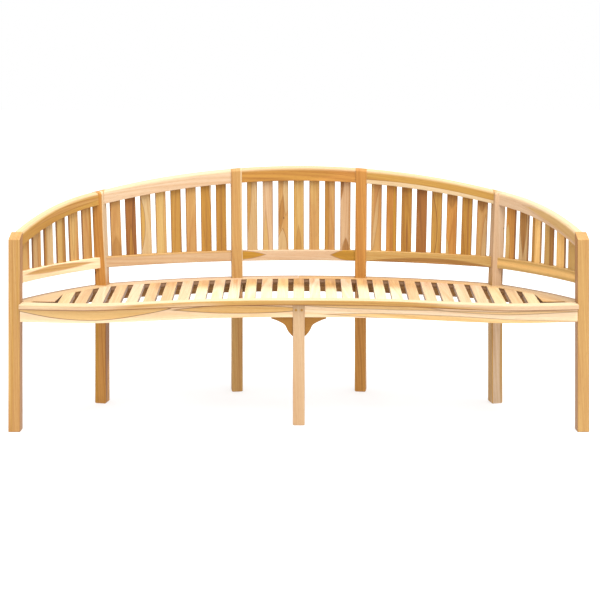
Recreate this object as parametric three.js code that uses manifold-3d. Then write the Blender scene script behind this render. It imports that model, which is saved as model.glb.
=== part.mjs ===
// Curved garden bench in solid teak, modelled in millimetres with +Z up.
// The bench is mirror symmetric about x = 0, its front faces -Y, and the floor is z = 0.
// While it is built, y = 0 is the plane of the front corner posts' front faces.

import * as THREE from 'three';
import { mergeVertices } from 'three/addons/utils/BufferGeometryUtils.js';
import Module from 'manifold-3d';

const wasm = await Module();
wasm.setup();

// Overall sizes
const OVERALL_WIDTH = 2020;
const SEAT_HEIGHT = 447;
const TOP_HEIGHT = 881;
const ARM_HEIGHT = 691;
const ARM_FALL = 20;

// Plan of the back: the rear faces of the rear posts stand on one large circle
const BACK_DEPTH = 562;
const BACK_RADIUS = 1700;
const INNER_POST_SHARE = 0.2416;
const OUTER_POST_SHARE = 0.7396;
const SIDE_BOW = 20;
const SIDE_END_INSET = 24;
const ARCH_RADIUS = 3660;
const SIDE_ARCH_BOW = 17;

// Lean of the back above the seat, which dies out towards the front posts
const RECLINE = THREE.MathUtils.degToRad(5.5);
const OUTER_LEAN_TURN = THREE.MathUtils.degToRad(34);
const FRONT_LEAN_TURN = THREE.MathUtils.degToRad(56);
const FRONT_LEAN_SHARE = 0.2;

// Timber sections
const FRONT_POST = 41;
const REAR_POST = 43;
const CENTRE_LEG = 42;
const TOP_RAIL_THICKNESS = 34;
const TOP_RAIL_DEPTH = 50;
const TOP_RAIL_ROUND = 14;
const TOP_RAIL_CREST_SHARE = 0.16;
const LOWER_RAIL_THICKNESS = 30;
const LOWER_RAIL_DEPTH = 40;
const LOWER_RAIL_LIFT_SHARE = 0.4281;
const BACK_SLAT_WIDTH = 41;
const BACK_SLAT_THICKNESS = 9;
const FRONT_APRON_HEIGHT = 46;
const FRONT_APRON_THICKNESS = 26;
const REAR_APRON_HEIGHT = 40;
const REAR_APRON_THICKNESS = 24;
const BOARD_THICKNESS = 18;
const FRONT_BOARD_WIDTH = 48;
const REAR_BOARD_WIDTH = 68;
const SEAT_SLAT_WIDTH = 40.5;
const SEAT_SLAT_PITCH_SHARE = 0.02896;
const SEAT_FAN_RADIUS = 9000;
const BEARER_WIDTH = 24;
const BEARER_FRONT_SHARE = 0.206;
const BRACKET_WIDTH = 77;
const BRACKET_HEIGHT = 69;
const BRACKET_THICKNESS = 20;

// Front line: the apron's front face, set back at the centre and bulging near the ends
const FRONT_SETBACK = 78;
const FRONT_BULGE = 20;
const NOSE_OVERHANG = 20;
const LEG_PROUD = 3;

// Joints
const CLEARANCE = 0.3;
const TENON_LENGTH = 17;
const TENON_SHOULDER = 8;
const SLAT_HOUSING = 9;
const LEDGE_LENGTH = 14;
const LEDGE_HEIGHT = 9;
const OVERRUN = 60;
const POST_TOP_ROUND = 8;
const FOOT_CHAMFER = 3;

// Counts
const BACK_SLATS = { side: 6, middle: 8, centre: 7 };
const SEAT_SLATS_EACH_SIDE = 14;
const LONG_STEPS = 18;
const FRONT_STEPS = 56;
const ROUND_STEPS = 4;

// Places along the bench that follow from its length
const halfWidth = OVERALL_WIDTH / 2;
const innerPostX = INNER_POST_SHARE * halfWidth;
const outerPostX = OUTER_POST_SHARE * halfWidth;
const bearerFrontX = BEARER_FRONT_SHARE * halfWidth;
const seatSlatPitch = SEAT_SLAT_PITCH_SHARE * OVERALL_WIDTH;

// Heights that follow from the sizes above
const boardUnderside = SEAT_HEIGHT - BOARD_THICKNESS;
const apronBottom = boardUnderside - FRONT_APRON_HEIGHT;
const rearApronBottom = boardUnderside - REAR_APRON_HEIGHT;
const ledgeTop = boardUnderside + LEDGE_HEIGHT;

// Plan of the back line, which runs through the middles of the rear posts and of the back rails
const postLineRadius = BACK_RADIUS - REAR_POST / 2;
const backCentre = new THREE.Vector2(0, BACK_DEPTH - BACK_RADIUS);
const innerAngle = Math.asin(innerPostX / postLineRadius);
const outerAngle = Math.asin(outerPostX / postLineRadius);
const innerReach = innerAngle * postLineRadius;
const outerReach = outerAngle * postLineRadius;
const sideStart = direction(outerAngle).multiplyScalar(postLineRadius).add(backCentre);
const sideEnd = new THREE.Vector2(halfWidth - SIDE_END_INSET, FRONT_POST);
const sideChord = sideStart.distanceTo(sideEnd);
const sideRadius = (sideChord ** 2 / 4 + SIDE_BOW ** 2) / (2 * SIDE_BOW);
const sideHalfAngle = Math.asin(sideChord / 2 / sideRadius);
const sideChordAngle = Math.atan2(sideStart.y - sideEnd.y, sideEnd.x - sideStart.x);
const sideStartAngle = sideChordAngle - sideHalfAngle;
const bendAngle = (outerAngle + sideStartAngle) / 2;
const sideCentre = sideStart.clone().sub(direction(sideStartAngle).multiplyScalar(sideRadius));
const frontReach = outerReach + 2 * sideHalfAngle * sideRadius;

// The lower rail lies at a share of the free height under the top rail's lowest end
const freeHeight = topRailUnderside(frontReach) - SEAT_HEIGHT - LOWER_RAIL_DEPTH;
const lowerRailBottom = SEAT_HEIGHT + LOWER_RAIL_LIFT_SHARE * freeHeight;
const lowerRailTop = lowerRailBottom + LOWER_RAIL_DEPTH;

// Unit vector in plan, turned by an angle from the straight-back direction
function direction(angle) {
  return new THREE.Vector2(Math.sin(angle), Math.cos(angle));
}

// Point and outward normal on the back line at a signed distance from the centre
function backStation(distance, onSide = Math.abs(distance) > outerReach) {
  const reach = Math.abs(distance);
  const hand = distance < 0 ? -1 : 1;
  const angle = onSide ? sideStartAngle + (reach - outerReach) / sideRadius : reach / postLineRadius;
  const normal = direction(angle);
  const point = normal.clone().multiplyScalar(onSide ? sideRadius : postLineRadius);
  point.add(onSide ? sideCentre : backCentre);
  point.x *= hand;
  normal.x *= hand;
  return { point, normal, along: new THREE.Vector2(normal.y, -normal.x) };
}

// Horizontal shift of the back for each millimetre above the seat
function leanAt(distance) {
  const reach = Math.abs(distance);
  const { mapLinear, clamp } = THREE.MathUtils;
  const sideShare = clamp((reach - outerReach) / (frontReach - outerReach), 0, 1);
  let turn = (innerAngle * reach) / innerReach;
  if (reach > innerReach) turn = mapLinear(reach, innerReach, outerReach, innerAngle, OUTER_LEAN_TURN);
  if (reach > outerReach) turn = mapLinear(sideShare, 0, 1, OUTER_LEAN_TURN, FRONT_LEAN_TURN);
  const amount = Math.tan(RECLINE) * mapLinear(sideShare, 0, 1, 1, FRONT_LEAN_SHARE);
  const lean = direction(turn).multiplyScalar(amount);
  lean.x *= distance < 0 ? -1 : 1;
  return lean;
}

// Corner of a piece of the back: a plan point moved by the lean at its height
function leaned(plan, distance, z) {
  const rise = Math.max(z - SEAT_HEIGHT, 0);
  const lean = leanAt(distance);
  return new THREE.Vector3(plan.x + lean.x * rise, plan.y + lean.y * rise, z);
}

// Arch of the top rail, measured along the back line: one arc as far as the outer posts,
// and from there a bowed fall to the arm's height at the front post
function topHeight(distance) {
  const reach = Math.abs(distance);
  const arc = (length) => TOP_HEIGHT - length ** 2 / (2 * ARCH_RADIUS);
  if (reach <= outerReach) return arc(reach);
  const sideShare = (reach - outerReach) / (frontReach - outerReach);
  const bow = 4 * SIDE_ARCH_BOW * sideShare * (1 - sideShare);
  return THREE.MathUtils.lerp(arc(outerReach), ARM_HEIGHT, sideShare) + bow;
}

// Factor on the top rail's depth straight down, which grows with its slope and towards the crest
function topStretch(distance) {
  const half = TOP_RAIL_THICKNESS / 2;
  const slope = (topHeight(distance + half) - topHeight(distance - half)) / (2 * half);
  const crest = Math.max(0, 1 - (distance / outerReach) ** 2);
  return Math.hypot(1, slope) * (1 + TOP_RAIL_CREST_SHARE * crest);
}

function topRailUnderside(distance) {
  return topHeight(distance) - TOP_RAIL_DEPTH * topStretch(distance);
}

// Closed body through a row of rings that all have the same number of corners
function loft(rings) {
  const count = rings[0].length;
  const positions = rings.flatMap((ring) => ring.flatMap((corner) => corner.toArray()));
  const index = [];
  for (let row = 0; row + 1 < rings.length; row += 1) {
    for (let i = 0; i < count; i += 1) {
      const a = row * count + i;
      const b = row * count + ((i + 1) % count);
      index.push(a, b, b + count, a, b + count, a + count);
    }
  }
  const last = (rings.length - 1) * count;
  for (let i = 1; i + 1 < count; i += 1) {
    index.push(0, i + 1, i);
    index.push(last, last + i, last + i + 1);
  }
  const geometry = new THREE.BufferGeometry();
  geometry.setAttribute('position', new THREE.Float32BufferAttribute(positions, 3));
  geometry.setIndex(signedVolume(positions, index) < 0 ? index.reverse() : index);
  return solid(geometry);
}

function signedVolume(positions, index) {
  const corner = (i) => new THREE.Vector3().fromArray(positions, 3 * index[i]);
  let volume = 0;
  for (let i = 0; i < index.length; i += 3) {
    volume += corner(i).dot(corner(i + 1).cross(corner(i + 2)));
  }
  return volume;
}

// Solid for joining and cutting, from any closed geometry
function solid(geometry) {
  geometry.deleteAttribute('normal');
  geometry.deleteAttribute('uv');
  const merged = mergeVertices(geometry);
  const vertProperties = new Float32Array(merged.attributes.position.array);
  const triVerts = new Uint32Array(merged.index.array);
  return new wasm.Manifold(new wasm.Mesh({ numProp: 3, vertProperties, triVerts }));
}

// Box between two corners
function block(x0, x1, y0, y1, z0, z1) {
  const geometry = new THREE.BoxGeometry(x1 - x0, y1 - y0, z1 - z0);
  geometry.translate((x0 + x1) / 2, (y0 + y1) / 2, (z0 + z1) / 2);
  return solid(geometry);
}

// Straight extrusion of an outline given by its corners
function extrusion(outline, depth) {
  return new THREE.ExtrudeGeometry(new THREE.Shape(outline), { depth, bevelEnabled: false });
}

// Plan outline raised between two heights
function slab(outline, z0, z1) {
  const geometry = extrusion(outline, z1 - z0);
  geometry.translate(0, 0, z0);
  return solid(geometry);
}

// Side profile given as (y, z), as wide as two x values
function profile(outline, x0, x1) {
  const geometry = extrusion(outline, x1 - x0);
  const yAxis = new THREE.Vector3(0, 1, 0);
  const zAxis = new THREE.Vector3(0, 0, 1);
  const xAxis = new THREE.Vector3(1, 0, 0);
  geometry.applyMatrix4(new THREE.Matrix4().makeBasis(yAxis, zAxis, xAxis));
  geometry.translate(x0, 0, 0);
  return solid(geometry);
}

// Colours of the boards, from pale sapwood to dark heartwood
const TEAK_TONES = [0xe0ab6b, 0xe9bd86, 0xd69c58, 0xdfb07c, 0xc98a48, 0xecc794];

const bench = new THREE.Group();

function addPiece(name, body) {
  const mesh = body.getMesh();
  const geometry = new THREE.BufferGeometry();
  geometry.setAttribute('position', new THREE.BufferAttribute(new Float32Array(mesh.vertProperties), 3));
  geometry.setIndex(new THREE.BufferAttribute(new Uint32Array(mesh.triVerts), 1));
  geometry.computeVertexNormals();
  const color = TEAK_TONES[bench.children.length % TEAK_TONES.length];
  const material = new THREE.MeshStandardMaterial({ color, roughness: 0.6, metalness: 0 });
  const piece = new THREE.Mesh(geometry, material);
  piece.name = name;
  bench.add(piece);
}

// Rail of the back between two stations, with its section given across and up
function backRail(start, end, section, onSide, base, stretch) {
  const rings = [];
  for (let step = 0; step <= LONG_STEPS; step += 1) {
    const distance = THREE.MathUtils.lerp(start, end, step / LONG_STEPS);
    const { point, normal } = backStation(distance, onSide);
    rings.push(section.map(([across, up]) => {
      const plan = point.clone().addScaledVector(normal, across);
      return leaned(plan, distance, base(distance) + up * stretch(distance));
    }));
  }
  return loft(rings);
}

function rectangle(thickness, low, high) {
  const half = thickness / 2;
  return [[-half, low], [half, low], [half, high], [-half, high]];
}

// Section of the top rail, with both upper edges rounded
function roundedSection() {
  const half = TOP_RAIL_THICKNESS / 2;
  const corner = TOP_RAIL_DEPTH - TOP_RAIL_ROUND;
  const section = [[-half, 0], [half, 0]];
  for (const side of [1, -1]) {
    for (let step = 0; step <= ROUND_STEPS; step += 1) {
      const share = side > 0 ? step / ROUND_STEPS : 1 - step / ROUND_STEPS;
      const angle = (share * Math.PI) / 2;
      const across = half - TOP_RAIL_ROUND + TOP_RAIL_ROUND * Math.cos(angle);
      section.push([side * across, corner + TOP_RAIL_ROUND * Math.sin(angle)]);
    }
  }
  return section;
}

// Panels of the back from left to right, with the stations of the posts at their ends
const panels = [
  { name: 'left_side', start: -frontReach, end: -outerReach, slats: BACK_SLATS.side },
  { name: 'left_middle', start: -outerReach, end: -innerReach, slats: BACK_SLATS.middle },
  { name: 'centre', start: -innerReach, end: innerReach, slats: BACK_SLATS.centre },
  { name: 'right_middle', start: innerReach, end: outerReach, slats: BACK_SLATS.middle },
  { name: 'right_side', start: outerReach, end: frontReach, slats: BACK_SLATS.side },
];

// Distance that a rail runs from its post's station, negative where it goes on into a front post
function postMargin(station, extra) {
  return Math.abs(station) >= frontReach ? -extra : REAR_POST / 2 - extra;
}

// Square outline of a rear post in plan, grown by a margin. The inner posts stand square to the back line.
// The outer posts stand cornerwise to its bend, and the rails on both sides are cut to their corners.
function rearPostOutline(distance, grow) {
  const { point } = backStation(distance, false);
  const hand = Math.sign(distance);
  const outer = Math.abs(distance) > innerReach;
  const lineNormal = direction(hand * (outer ? bendAngle : innerAngle));
  const back = outer ? direction(hand * (bendAngle - Math.PI / 4)) : lineNormal;
  const along = new THREE.Vector2(back.y, -back.x);
  const half = REAR_POST / 2 + grow;
  return [[-1, -1], [1, -1], [1, 1], [-1, 1]].map(([a, b]) => {
    const offset = along.clone().multiplyScalar(a * half).addScaledVector(back, b * half);
    return { plan: point.clone().add(offset), ahead: offset.cross(lineNormal) };
  });
}

// Rear post: upright to the seat, then leaning back, with its top cut to the arch of the rail
function rearPost(distance, grow = 0, above = 0) {
  const outline = rearPostOutline(distance, grow);
  const level = (ring, z) => ring.map(({ plan }) => leaned(plan, distance, z));
  const top = outline.map(({ plan, ahead }) => leaned(plan, distance, topHeight(distance + ahead) + above));
  const foot = level(rearPostOutline(distance, grow - FOOT_CHAMFER), 0);
  return loft([foot, level(outline, FOOT_CHAMFER), level(outline, SEAT_HEIGHT), top]);
}

// Upright square to the room, with chamfers round its foot
function straightLeg(x0, x1, y0, y1, top) {
  const ring = (inset, z) => [
    new THREE.Vector3(x0 + inset, y0 + inset, z),
    new THREE.Vector3(x1 - inset, y0 + inset, z),
    new THREE.Vector3(x1 - inset, y1 - inset, z),
    new THREE.Vector3(x0 + inset, y1 - inset, z),
  ];
  return loft([ring(FOOT_CHAMFER, 0), ring(0, FOOT_CHAMFER), ring(0, top)]);
}

// Front post, whose top falls on from the rail to a rounded front edge
function frontPost(hand) {
  const [x0, x1] = handed(hand, halfWidth - FRONT_POST, halfWidth);
  const frontTop = ARM_HEIGHT - ARM_FALL;
  const crest = frontTop + (ARM_FALL * POST_TOP_ROUND) / FRONT_POST;
  const shape = new THREE.Shape();
  shape.moveTo(0, 0);
  shape.lineTo(FRONT_POST, 0);
  shape.lineTo(FRONT_POST, ARM_HEIGHT);
  shape.lineTo(POST_TOP_ROUND, crest);
  shape.quadraticCurveTo(0, frontTop, 0, frontTop - POST_TOP_ROUND / 2);
  const side = profile(shape.getPoints(ROUND_STEPS), x0, x1);
  return side.intersect(straightLeg(x0, x1, 0, FRONT_POST, TOP_HEIGHT));
}

// Everything in front of the rear faces of the front posts, where the side rails stop
function frontPostZone(grow) {
  const reach = halfWidth + OVERRUN;
  return block(-reach, reach, -OVERRUN, FRONT_POST + grow, -grow, TOP_HEIGHT);
}

const posts = new Map([
  ['rear_left_outer_post', { distance: -outerReach }],
  ['rear_left_inner_post', { distance: -innerReach }],
  ['rear_right_inner_post', { distance: innerReach }],
  ['rear_right_outer_post', { distance: outerReach }],
]);
for (const post of posts.values()) {
  post.body = rearPost(post.distance);
  post.keepOut = rearPost(post.distance, CLEARANCE, OVERRUN);
}
const frontPosts = new Map([
  ['front_left_post', { hand: -1, body: frontPost(-1) }],
  ['front_right_post', { hand: 1, body: frontPost(1) }],
]);

// Cuts a piece back from every rear post, or cuts a pocket in every post
function clearOfRearPosts(body) {
  return [...posts.values()].reduce((rest, post) => rest.subtract(post.keepOut), body);
}

function mortisePosts(pocket) {
  for (const post of [...posts.values(), ...frontPosts.values()]) post.body = post.body.subtract(pocket);
}

// Horizontal rail of the back with a stub tenon at each end
function tenonedRail(panel, section, tenonSection, base, stretch) {
  const onSide = Math.abs(panel.start + panel.end) > 2 * outerReach;
  const reachIn = postMargin(panel.start, REAR_POST / 2);
  const reachOut = postMargin(panel.end, REAR_POST / 2);
  let rail = backRail(panel.start + reachIn, panel.end - reachOut, section, onSide, base, stretch);
  rail = clearOfRearPosts(rail).subtract(frontPostZone(CLEARANCE));
  const tenonStart = panel.start + postMargin(panel.start, TENON_LENGTH);
  const tenonEnd = panel.end - postMargin(panel.end, TENON_LENGTH);
  const tenon = backRail(tenonStart, tenonEnd, tenonSection(0), onSide, base, stretch);
  const pocketStart = tenonStart - CLEARANCE;
  const pocketEnd = tenonEnd + CLEARANCE;
  mortisePosts(backRail(pocketStart, pocketEnd, tenonSection(CLEARANCE), onSide, base, stretch));
  return rail.add(tenon);
}

function tenonRectangle(thickness, depth) {
  return (grow) => rectangle(
    thickness - 2 * TENON_SHOULDER + 2 * grow,
    TENON_SHOULDER - grow,
    depth - TENON_SHOULDER + grow,
  );
}

// Back slat between the rails, or, grown, the housing that takes its upper end
function backSlat(distance, grow) {
  const { point, normal, along } = backStation(distance);
  const halfSlat = BACK_SLAT_WIDTH / 2 + grow;
  const halfThickness = BACK_SLAT_THICKNESS / 2 + grow;
  const corners = [[-1, -1], [1, -1], [1, 1], [-1, 1]];
  const plan = corners.map(([a, b]) => point.clone()
    .addScaledVector(along, a * halfSlat)
    .addScaledVector(normal, b * halfThickness));
  const foot = lowerRailTop - SLAT_HOUSING;
  const head = corners.map(([a]) => {
    const place = distance + a * halfSlat;
    return topRailUnderside(place) + SLAT_HOUSING + grow;
  });
  return loft([
    plan.map((spot) => leaned(spot, distance, foot)),
    plan.map((spot, i) => leaned(spot, distance, head[i])),
  ]);
}

function buildPanel(panel) {
  const still = () => 1;
  const topTenon = tenonRectangle(TOP_RAIL_THICKNESS, TOP_RAIL_DEPTH);
  const lowTenon = tenonRectangle(LOWER_RAIL_THICKNESS, LOWER_RAIL_DEPTH);
  const lowSection = rectangle(LOWER_RAIL_THICKNESS, 0, LOWER_RAIL_DEPTH);
  let top = tenonedRail(panel, roundedSection(), topTenon, topRailUnderside, topStretch);
  const low = tenonedRail(panel, lowSection, lowTenon, () => lowerRailBottom, still);
  const first = panel.start + postMargin(panel.start, 0);
  const clear = panel.end - postMargin(panel.end, 0) - first;
  const gap = (clear - panel.slats * BACK_SLAT_WIDTH) / (panel.slats + 1);
  let comb = low;
  for (let i = 0; i < panel.slats; i += 1) {
    const distance = first + gap * (i + 1) + BACK_SLAT_WIDTH * (i + 1 / 2);
    comb = comb.add(backSlat(distance, 0));
    top = top.subtract(backSlat(distance, CLEARANCE));
  }
  addPiece(`top_rail_${panel.name}`, top);
  addPiece(`lower_rail_with_slats_${panel.name}`, comb);
}

// Rail under the rear edge of the seat, between two posts
function buildRearApron(panel) {
  const level = () => rearApronBottom;
  const still = () => 1;
  const section = rectangle(REAR_APRON_THICKNESS, 0, REAR_APRON_HEIGHT);
  const tenon = tenonRectangle(REAR_APRON_THICKNESS, REAR_APRON_HEIGHT);
  addPiece(`rear_apron_${panel.name}`, tenonedRail(panel, section, tenon, level, still));
}

// Front line as a smooth curve through five places on each half, each given by its shares
// of the half length, of the setback at the centre and of the bulge near the end
const frontEndX = halfWidth - FRONT_POST / 2;
const frontHalfShares = [
  { length: 0, setback: 1, bulge: 0 },
  { length: 0.31, setback: 0.78, bulge: 0 },
  { length: 0.6, setback: 0, bulge: 0 },
  { length: 0.76, setback: 0, bulge: 1 },
  { length: 1, setback: 0, bulge: -0.2 },
];
const frontHalf = frontHalfShares.map(({ length, setback, bulge }) =>
  new THREE.Vector2(length * frontEndX, setback * FRONT_SETBACK - bulge * FRONT_BULGE));
const frontCurve = new THREE.SplineCurve([
  ...frontHalf.slice(1).reverse().map((spot) => new THREE.Vector2(-spot.x, spot.y)),
  ...frontHalf,
]);

// Places on the front line, moved back by an offset
function frontLine(offset, from = 0, to = 1) {
  const line = [];
  const steps = Math.round(FRONT_STEPS * (to - from));
  for (let step = 0; step <= steps; step += 1) {
    const share = THREE.MathUtils.lerp(from, to, step / steps);
    const tangent = frontCurve.getTangentAt(share);
    const spot = frontCurve.getPointAt(share);
    line.push(spot.add(new THREE.Vector2(-tangent.y, tangent.x).multiplyScalar(offset)));
  }
  return line;
}

function frontLineY(x, offset) {
  const line = frontLine(offset);
  const next = Math.max(1, line.findIndex((spot) => spot.x >= x));
  return THREE.MathUtils.mapLinear(x, line[next - 1].x, line[next].x, line[next - 1].y, line[next].y);
}

// Places on the back line from the centre to one front post, moved outwards by an offset
function backLine(hand, offset) {
  const line = [];
  const relief = OVERRUN / 2;
  const bisector = direction(bendAngle).multiplyScalar(offset / Math.cos(sideStartAngle - bendAngle));
  const place = (distance, onSide) => {
    const { point, normal } = backStation(distance, onSide);
    line.push(point.addScaledVector(normal, offset));
  };
  for (let step = 0; step <= LONG_STEPS; step += 1) {
    place(THREE.MathUtils.lerp(0, outerReach - relief, step / LONG_STEPS), false);
  }
  line.push(sideStart.clone().add(bisector));
  for (let step = 0; step <= LONG_STEPS; step += 1) {
    place(THREE.MathUtils.lerp(outerReach + relief, frontReach, step / LONG_STEPS), true);
  }
  return line.map((spot) => new THREE.Vector2(hand * spot.x, spot.y));
}

// Front apron half with a tenon in the corner post and one in the centre leg
function buildFrontApron(name, hand) {
  const [from, to] = hand < 0 ? [0, 1 / 2] : [1 / 2, 1];
  const front = frontLine(0, from, to);
  const back = frontLine(FRONT_APRON_THICKNESS, from, to).reverse();
  const postSide = halfWidth - FRONT_POST;
  const legSide = CENTRE_LEG / 2;
  const span = handed(hand, legSide + CLEARANCE, postSide - CLEARANCE);
  const strip = slab([...front, ...back], apronBottom, boardUnderside);
  const body = strip.intersect(block(...span, -OVERRUN, BACK_DEPTH, 0, SEAT_HEIGHT));
  const tenonAt = (x, inner, outer, grow) => {
    const middle = frontLineY(hand * x, FRONT_APRON_THICKNESS / 2);
    const half = FRONT_APRON_THICKNESS / 2 - TENON_SHOULDER + grow;
    const [x0, x1] = handed(hand, inner, outer);
    return block(x0, x1, middle - half, middle + half, apronBottom + TENON_SHOULDER - grow,
      boardUnderside - TENON_SHOULDER + grow);
  };
  const atPost = (grow) => tenonAt(postSide, postSide - TENON_SHOULDER, postSide + TENON_LENGTH + grow, grow);
  const atLeg = (grow) => tenonAt(legSide, legSide - TENON_LENGTH - grow, legSide + TENON_SHOULDER, grow);
  mortisePosts(atPost(CLEARANCE));
  centreLeg = centreLeg.subtract(atLeg(CLEARANCE));
  return { name, body: body.add(atPost(0)).add(atLeg(0)) };
}

// Range of x for a piece given by its distances from the centre, on either hand
function handed(hand, near, far) {
  return hand > 0 ? [near, far] : [-far, -near];
}

// Cross bearer from the front apron to an inner rear post
function buildBearer(name, hand, apron) {
  const station = backStation(hand * innerReach, false);
  const startX = hand * bearerFrontX;
  const start = new THREE.Vector2(startX, frontLineY(startX, FRONT_APRON_THICKNESS));
  const end = station.point.clone().addScaledVector(station.normal, -REAR_POST / 2);
  const run = end.clone().sub(start).normalize();
  const across = new THREE.Vector2(run.y, -run.x);
  const bar = (width, low, high, extra) => {
    const corners = [[start, -extra, -1], [start, -extra, 1], [end, extra, 1], [end, extra, -1]];
    const place = ([spot, ahead, side]) => spot.clone()
      .addScaledVector(run, ahead)
      .addScaledVector(across, (side * width) / 2);
    return slab(corners.map(place), low, high);
  };
  const tenon = (grow) => bar(
    BEARER_WIDTH - 2 * TENON_SHOULDER + 2 * grow,
    apronBottom + TENON_SHOULDER - grow,
    boardUnderside - TENON_SHOULDER + grow,
    TENON_LENGTH - TENON_SHOULDER / 2 + grow,
  );
  const apronOutline = [...frontLine(-OVERRUN), ...frontLine(FRONT_APRON_THICKNESS + CLEARANCE).reverse()];
  const body = bar(BEARER_WIDTH, apronBottom, boardUnderside, 0).subtract(slab(apronOutline, 0, SEAT_HEIGHT));
  mortisePosts(tenon(CLEARANCE));
  apron.body = apron.body.subtract(tenon(CLEARANCE));
  addPiece(name, clearOfRearPosts(body).add(tenon(0)));
}

// Scroll of the bracket's free edge from its tip to the leg, as control and end places
const tipShare = 0.08;
const scrollShares = [
  { control: [0.72, 0.17], end: [0.5, 0.31] },
  { control: [0.37, 0.38], end: [0.31, 0.52] },
  { control: [0.24, 0.77], end: [0, 1] },
];

// Scrolled bracket in the corner between the centre leg and the apron
function buildBracket(name, hand) {
  const outline = new THREE.Shape();
  const at = ([across, down]) => [
    CENTRE_LEG / 2 + across * BRACKET_WIDTH,
    apronBottom - down * BRACKET_HEIGHT,
  ];
  outline.moveTo(...at([0, 0]));
  outline.lineTo(...at([1, 0]));
  outline.lineTo(...at([1, tipShare]));
  for (const { control, end } of scrollShares) outline.quadraticCurveTo(...at(control), ...at(end));
  const middle = FRONT_SETBACK + FRONT_APRON_THICKNESS / 2;
  const geometry = extrusion(outline.getPoints(ROUND_STEPS), BRACKET_THICKNESS);
  geometry.rotateX(Math.PI / 2);
  geometry.translate(0, middle + BRACKET_THICKNESS / 2, 0);
  const body = solid(geometry);
  addPiece(name, hand > 0 ? body : body.mirror([1, 0, 0]));
}

// Seat board along the front, with the ledge that carries the slats' front ends
function frontBoard(grow) {
  const inner = FRONT_BOARD_WIDTH - NOSE_OVERHANG + grow;
  const nose = frontLine(-NOSE_OVERHANG - grow);
  const board = slab([...nose, ...frontLine(inner).reverse()], ledgeTop, SEAT_HEIGHT + grow);
  const ledgeEdge = frontLine(inner + LEDGE_LENGTH).reverse();
  const ledge = slab([...nose, ...ledgeEdge], boardUnderside - grow, ledgeTop);
  const half = halfWidth - FRONT_POST - CLEARANCE + 2 * grow;
  return board.add(ledge).intersect(block(-half, half, -OVERRUN, BACK_DEPTH, 0, TOP_HEIGHT));
}

// Half of the seat board along the back, notched round the posts, with its ledge and its wide end
function rearBoard(hand, grow) {
  const outer = backLine(hand, REAR_POST / 2 + grow);
  const inner = (width) => backLine(hand, REAR_POST / 2 - width).reverse();
  const strip = (width, z0, z1) => slab([...outer, ...inner(width)], z0, z1);
  const lastSlatX = seatSlatPitch * SEAT_SLATS_EACH_SIDE;
  const cornerX = lastSlatX + seatSlatPitch - SEAT_SLAT_WIDTH / 2 - grow;
  const cornerOutline = [...outer, new THREE.Vector2(hand * cornerX, FRONT_POST)];
  const beyond = block(...handed(hand, cornerX, OVERALL_WIDTH), 0, BACK_DEPTH, 0, TOP_HEIGHT);
  const corner = slab(cornerOutline, boardUnderside - grow, SEAT_HEIGHT + grow).intersect(beyond);
  return strip(REAR_BOARD_WIDTH + grow, ledgeTop, SEAT_HEIGHT + grow)
    .add(strip(REAR_BOARD_WIDTH + LEDGE_LENGTH + grow, boardUnderside - grow, ledgeTop))
    .add(corner);
}

function buildSeatBoards() {
  const postZone = block(-OVERALL_WIDTH, OVERALL_WIDTH, -OVERRUN, FRONT_POST + CLEARANCE, 0, TOP_HEIGHT);
  const postColumns = postZone.subtract(block(
    CLEARANCE - halfWidth + FRONT_POST,
    halfWidth - FRONT_POST - CLEARANCE,
    -2 * OVERRUN,
    BACK_DEPTH,
    -OVERRUN,
    2 * TOP_HEIGHT,
  ));
  const front = frontBoard(0).subtract(postColumns);
  const frontRoom = frontBoard(CLEARANCE);
  addPiece('front_seat_board', front);
  for (const [name, hand] of [['rear_left_seat_board', -1], ['rear_right_seat_board', 1]]) {
    const own = block(...handed(hand, CLEARANCE / 2, OVERALL_WIDTH), -OVERRUN, BACK_DEPTH, 0, TOP_HEIGHT);
    const board = clearOfRearPosts(rearBoard(hand, 0)).intersect(own);
    addPiece(name, board.subtract(frontRoom).subtract(postColumns));
  }
}

// Seat slats, slightly fanned, with lapped ends that lie on the ledges of the boards
function buildSeatSlats() {
  const rooms = [frontBoard(CLEARANCE), rearBoard(-1, CLEARANCE), rearBoard(1, CLEARANCE)];
  for (let i = -SEAT_SLATS_EACH_SIDE; i <= SEAT_SLATS_EACH_SIDE; i += 1) {
    const x = i * seatSlatPitch;
    const front = new THREE.Vector2(x, frontLineY(x, FRONT_BOARD_WIDTH / 2 - NOSE_OVERHANG));
    const run = new THREE.Vector2(x, SEAT_FAN_RADIUS).normalize();
    const across = new THREE.Vector2(run.y, -run.x);
    const reach = rearReach(front, run);
    const outline = [[0, -1], [0, 1], [reach, 1], [reach, -1]].map(([ahead, side]) =>
      front.clone().addScaledVector(run, ahead).addScaledVector(across, (side * SEAT_SLAT_WIDTH) / 2));
    const full = slab(outline, boardUnderside, SEAT_HEIGHT);
    const cut = rooms.reduce((rest, room) => rest.subtract(room), full);
    addPiece(`seat_slat_${String(i + SEAT_SLATS_EACH_SIDE + 1).padStart(2, '0')}`, cut);
  }
}

// Distance from a slat's front end to the middle of the rear board
function rearReach(front, run) {
  const line = backLine(Math.sign(front.x) || 1, REAR_POST / 2 - REAR_BOARD_WIDTH / 2);
  const ahead = line.map((spot) => spot.clone().sub(front));
  const side = ahead.map((spot) => spot.cross(run) * (Math.sign(front.x) || 1));
  const next = Math.max(1, side.findIndex((value) => value > 0));
  const share = side[next - 1] / (side[next - 1] - side[next]);
  return THREE.MathUtils.lerp(ahead[next - 1].dot(run), ahead[next].dot(run), share);
}

// Centre leg under the front board, with its face a little proud of the apron
const legFront = FRONT_SETBACK - LEG_PROUD;
const legReach = CENTRE_LEG / 2;
let centreLeg = straightLeg(-legReach, legReach, legFront, legFront + CENTRE_LEG, boardUnderside);

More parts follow.
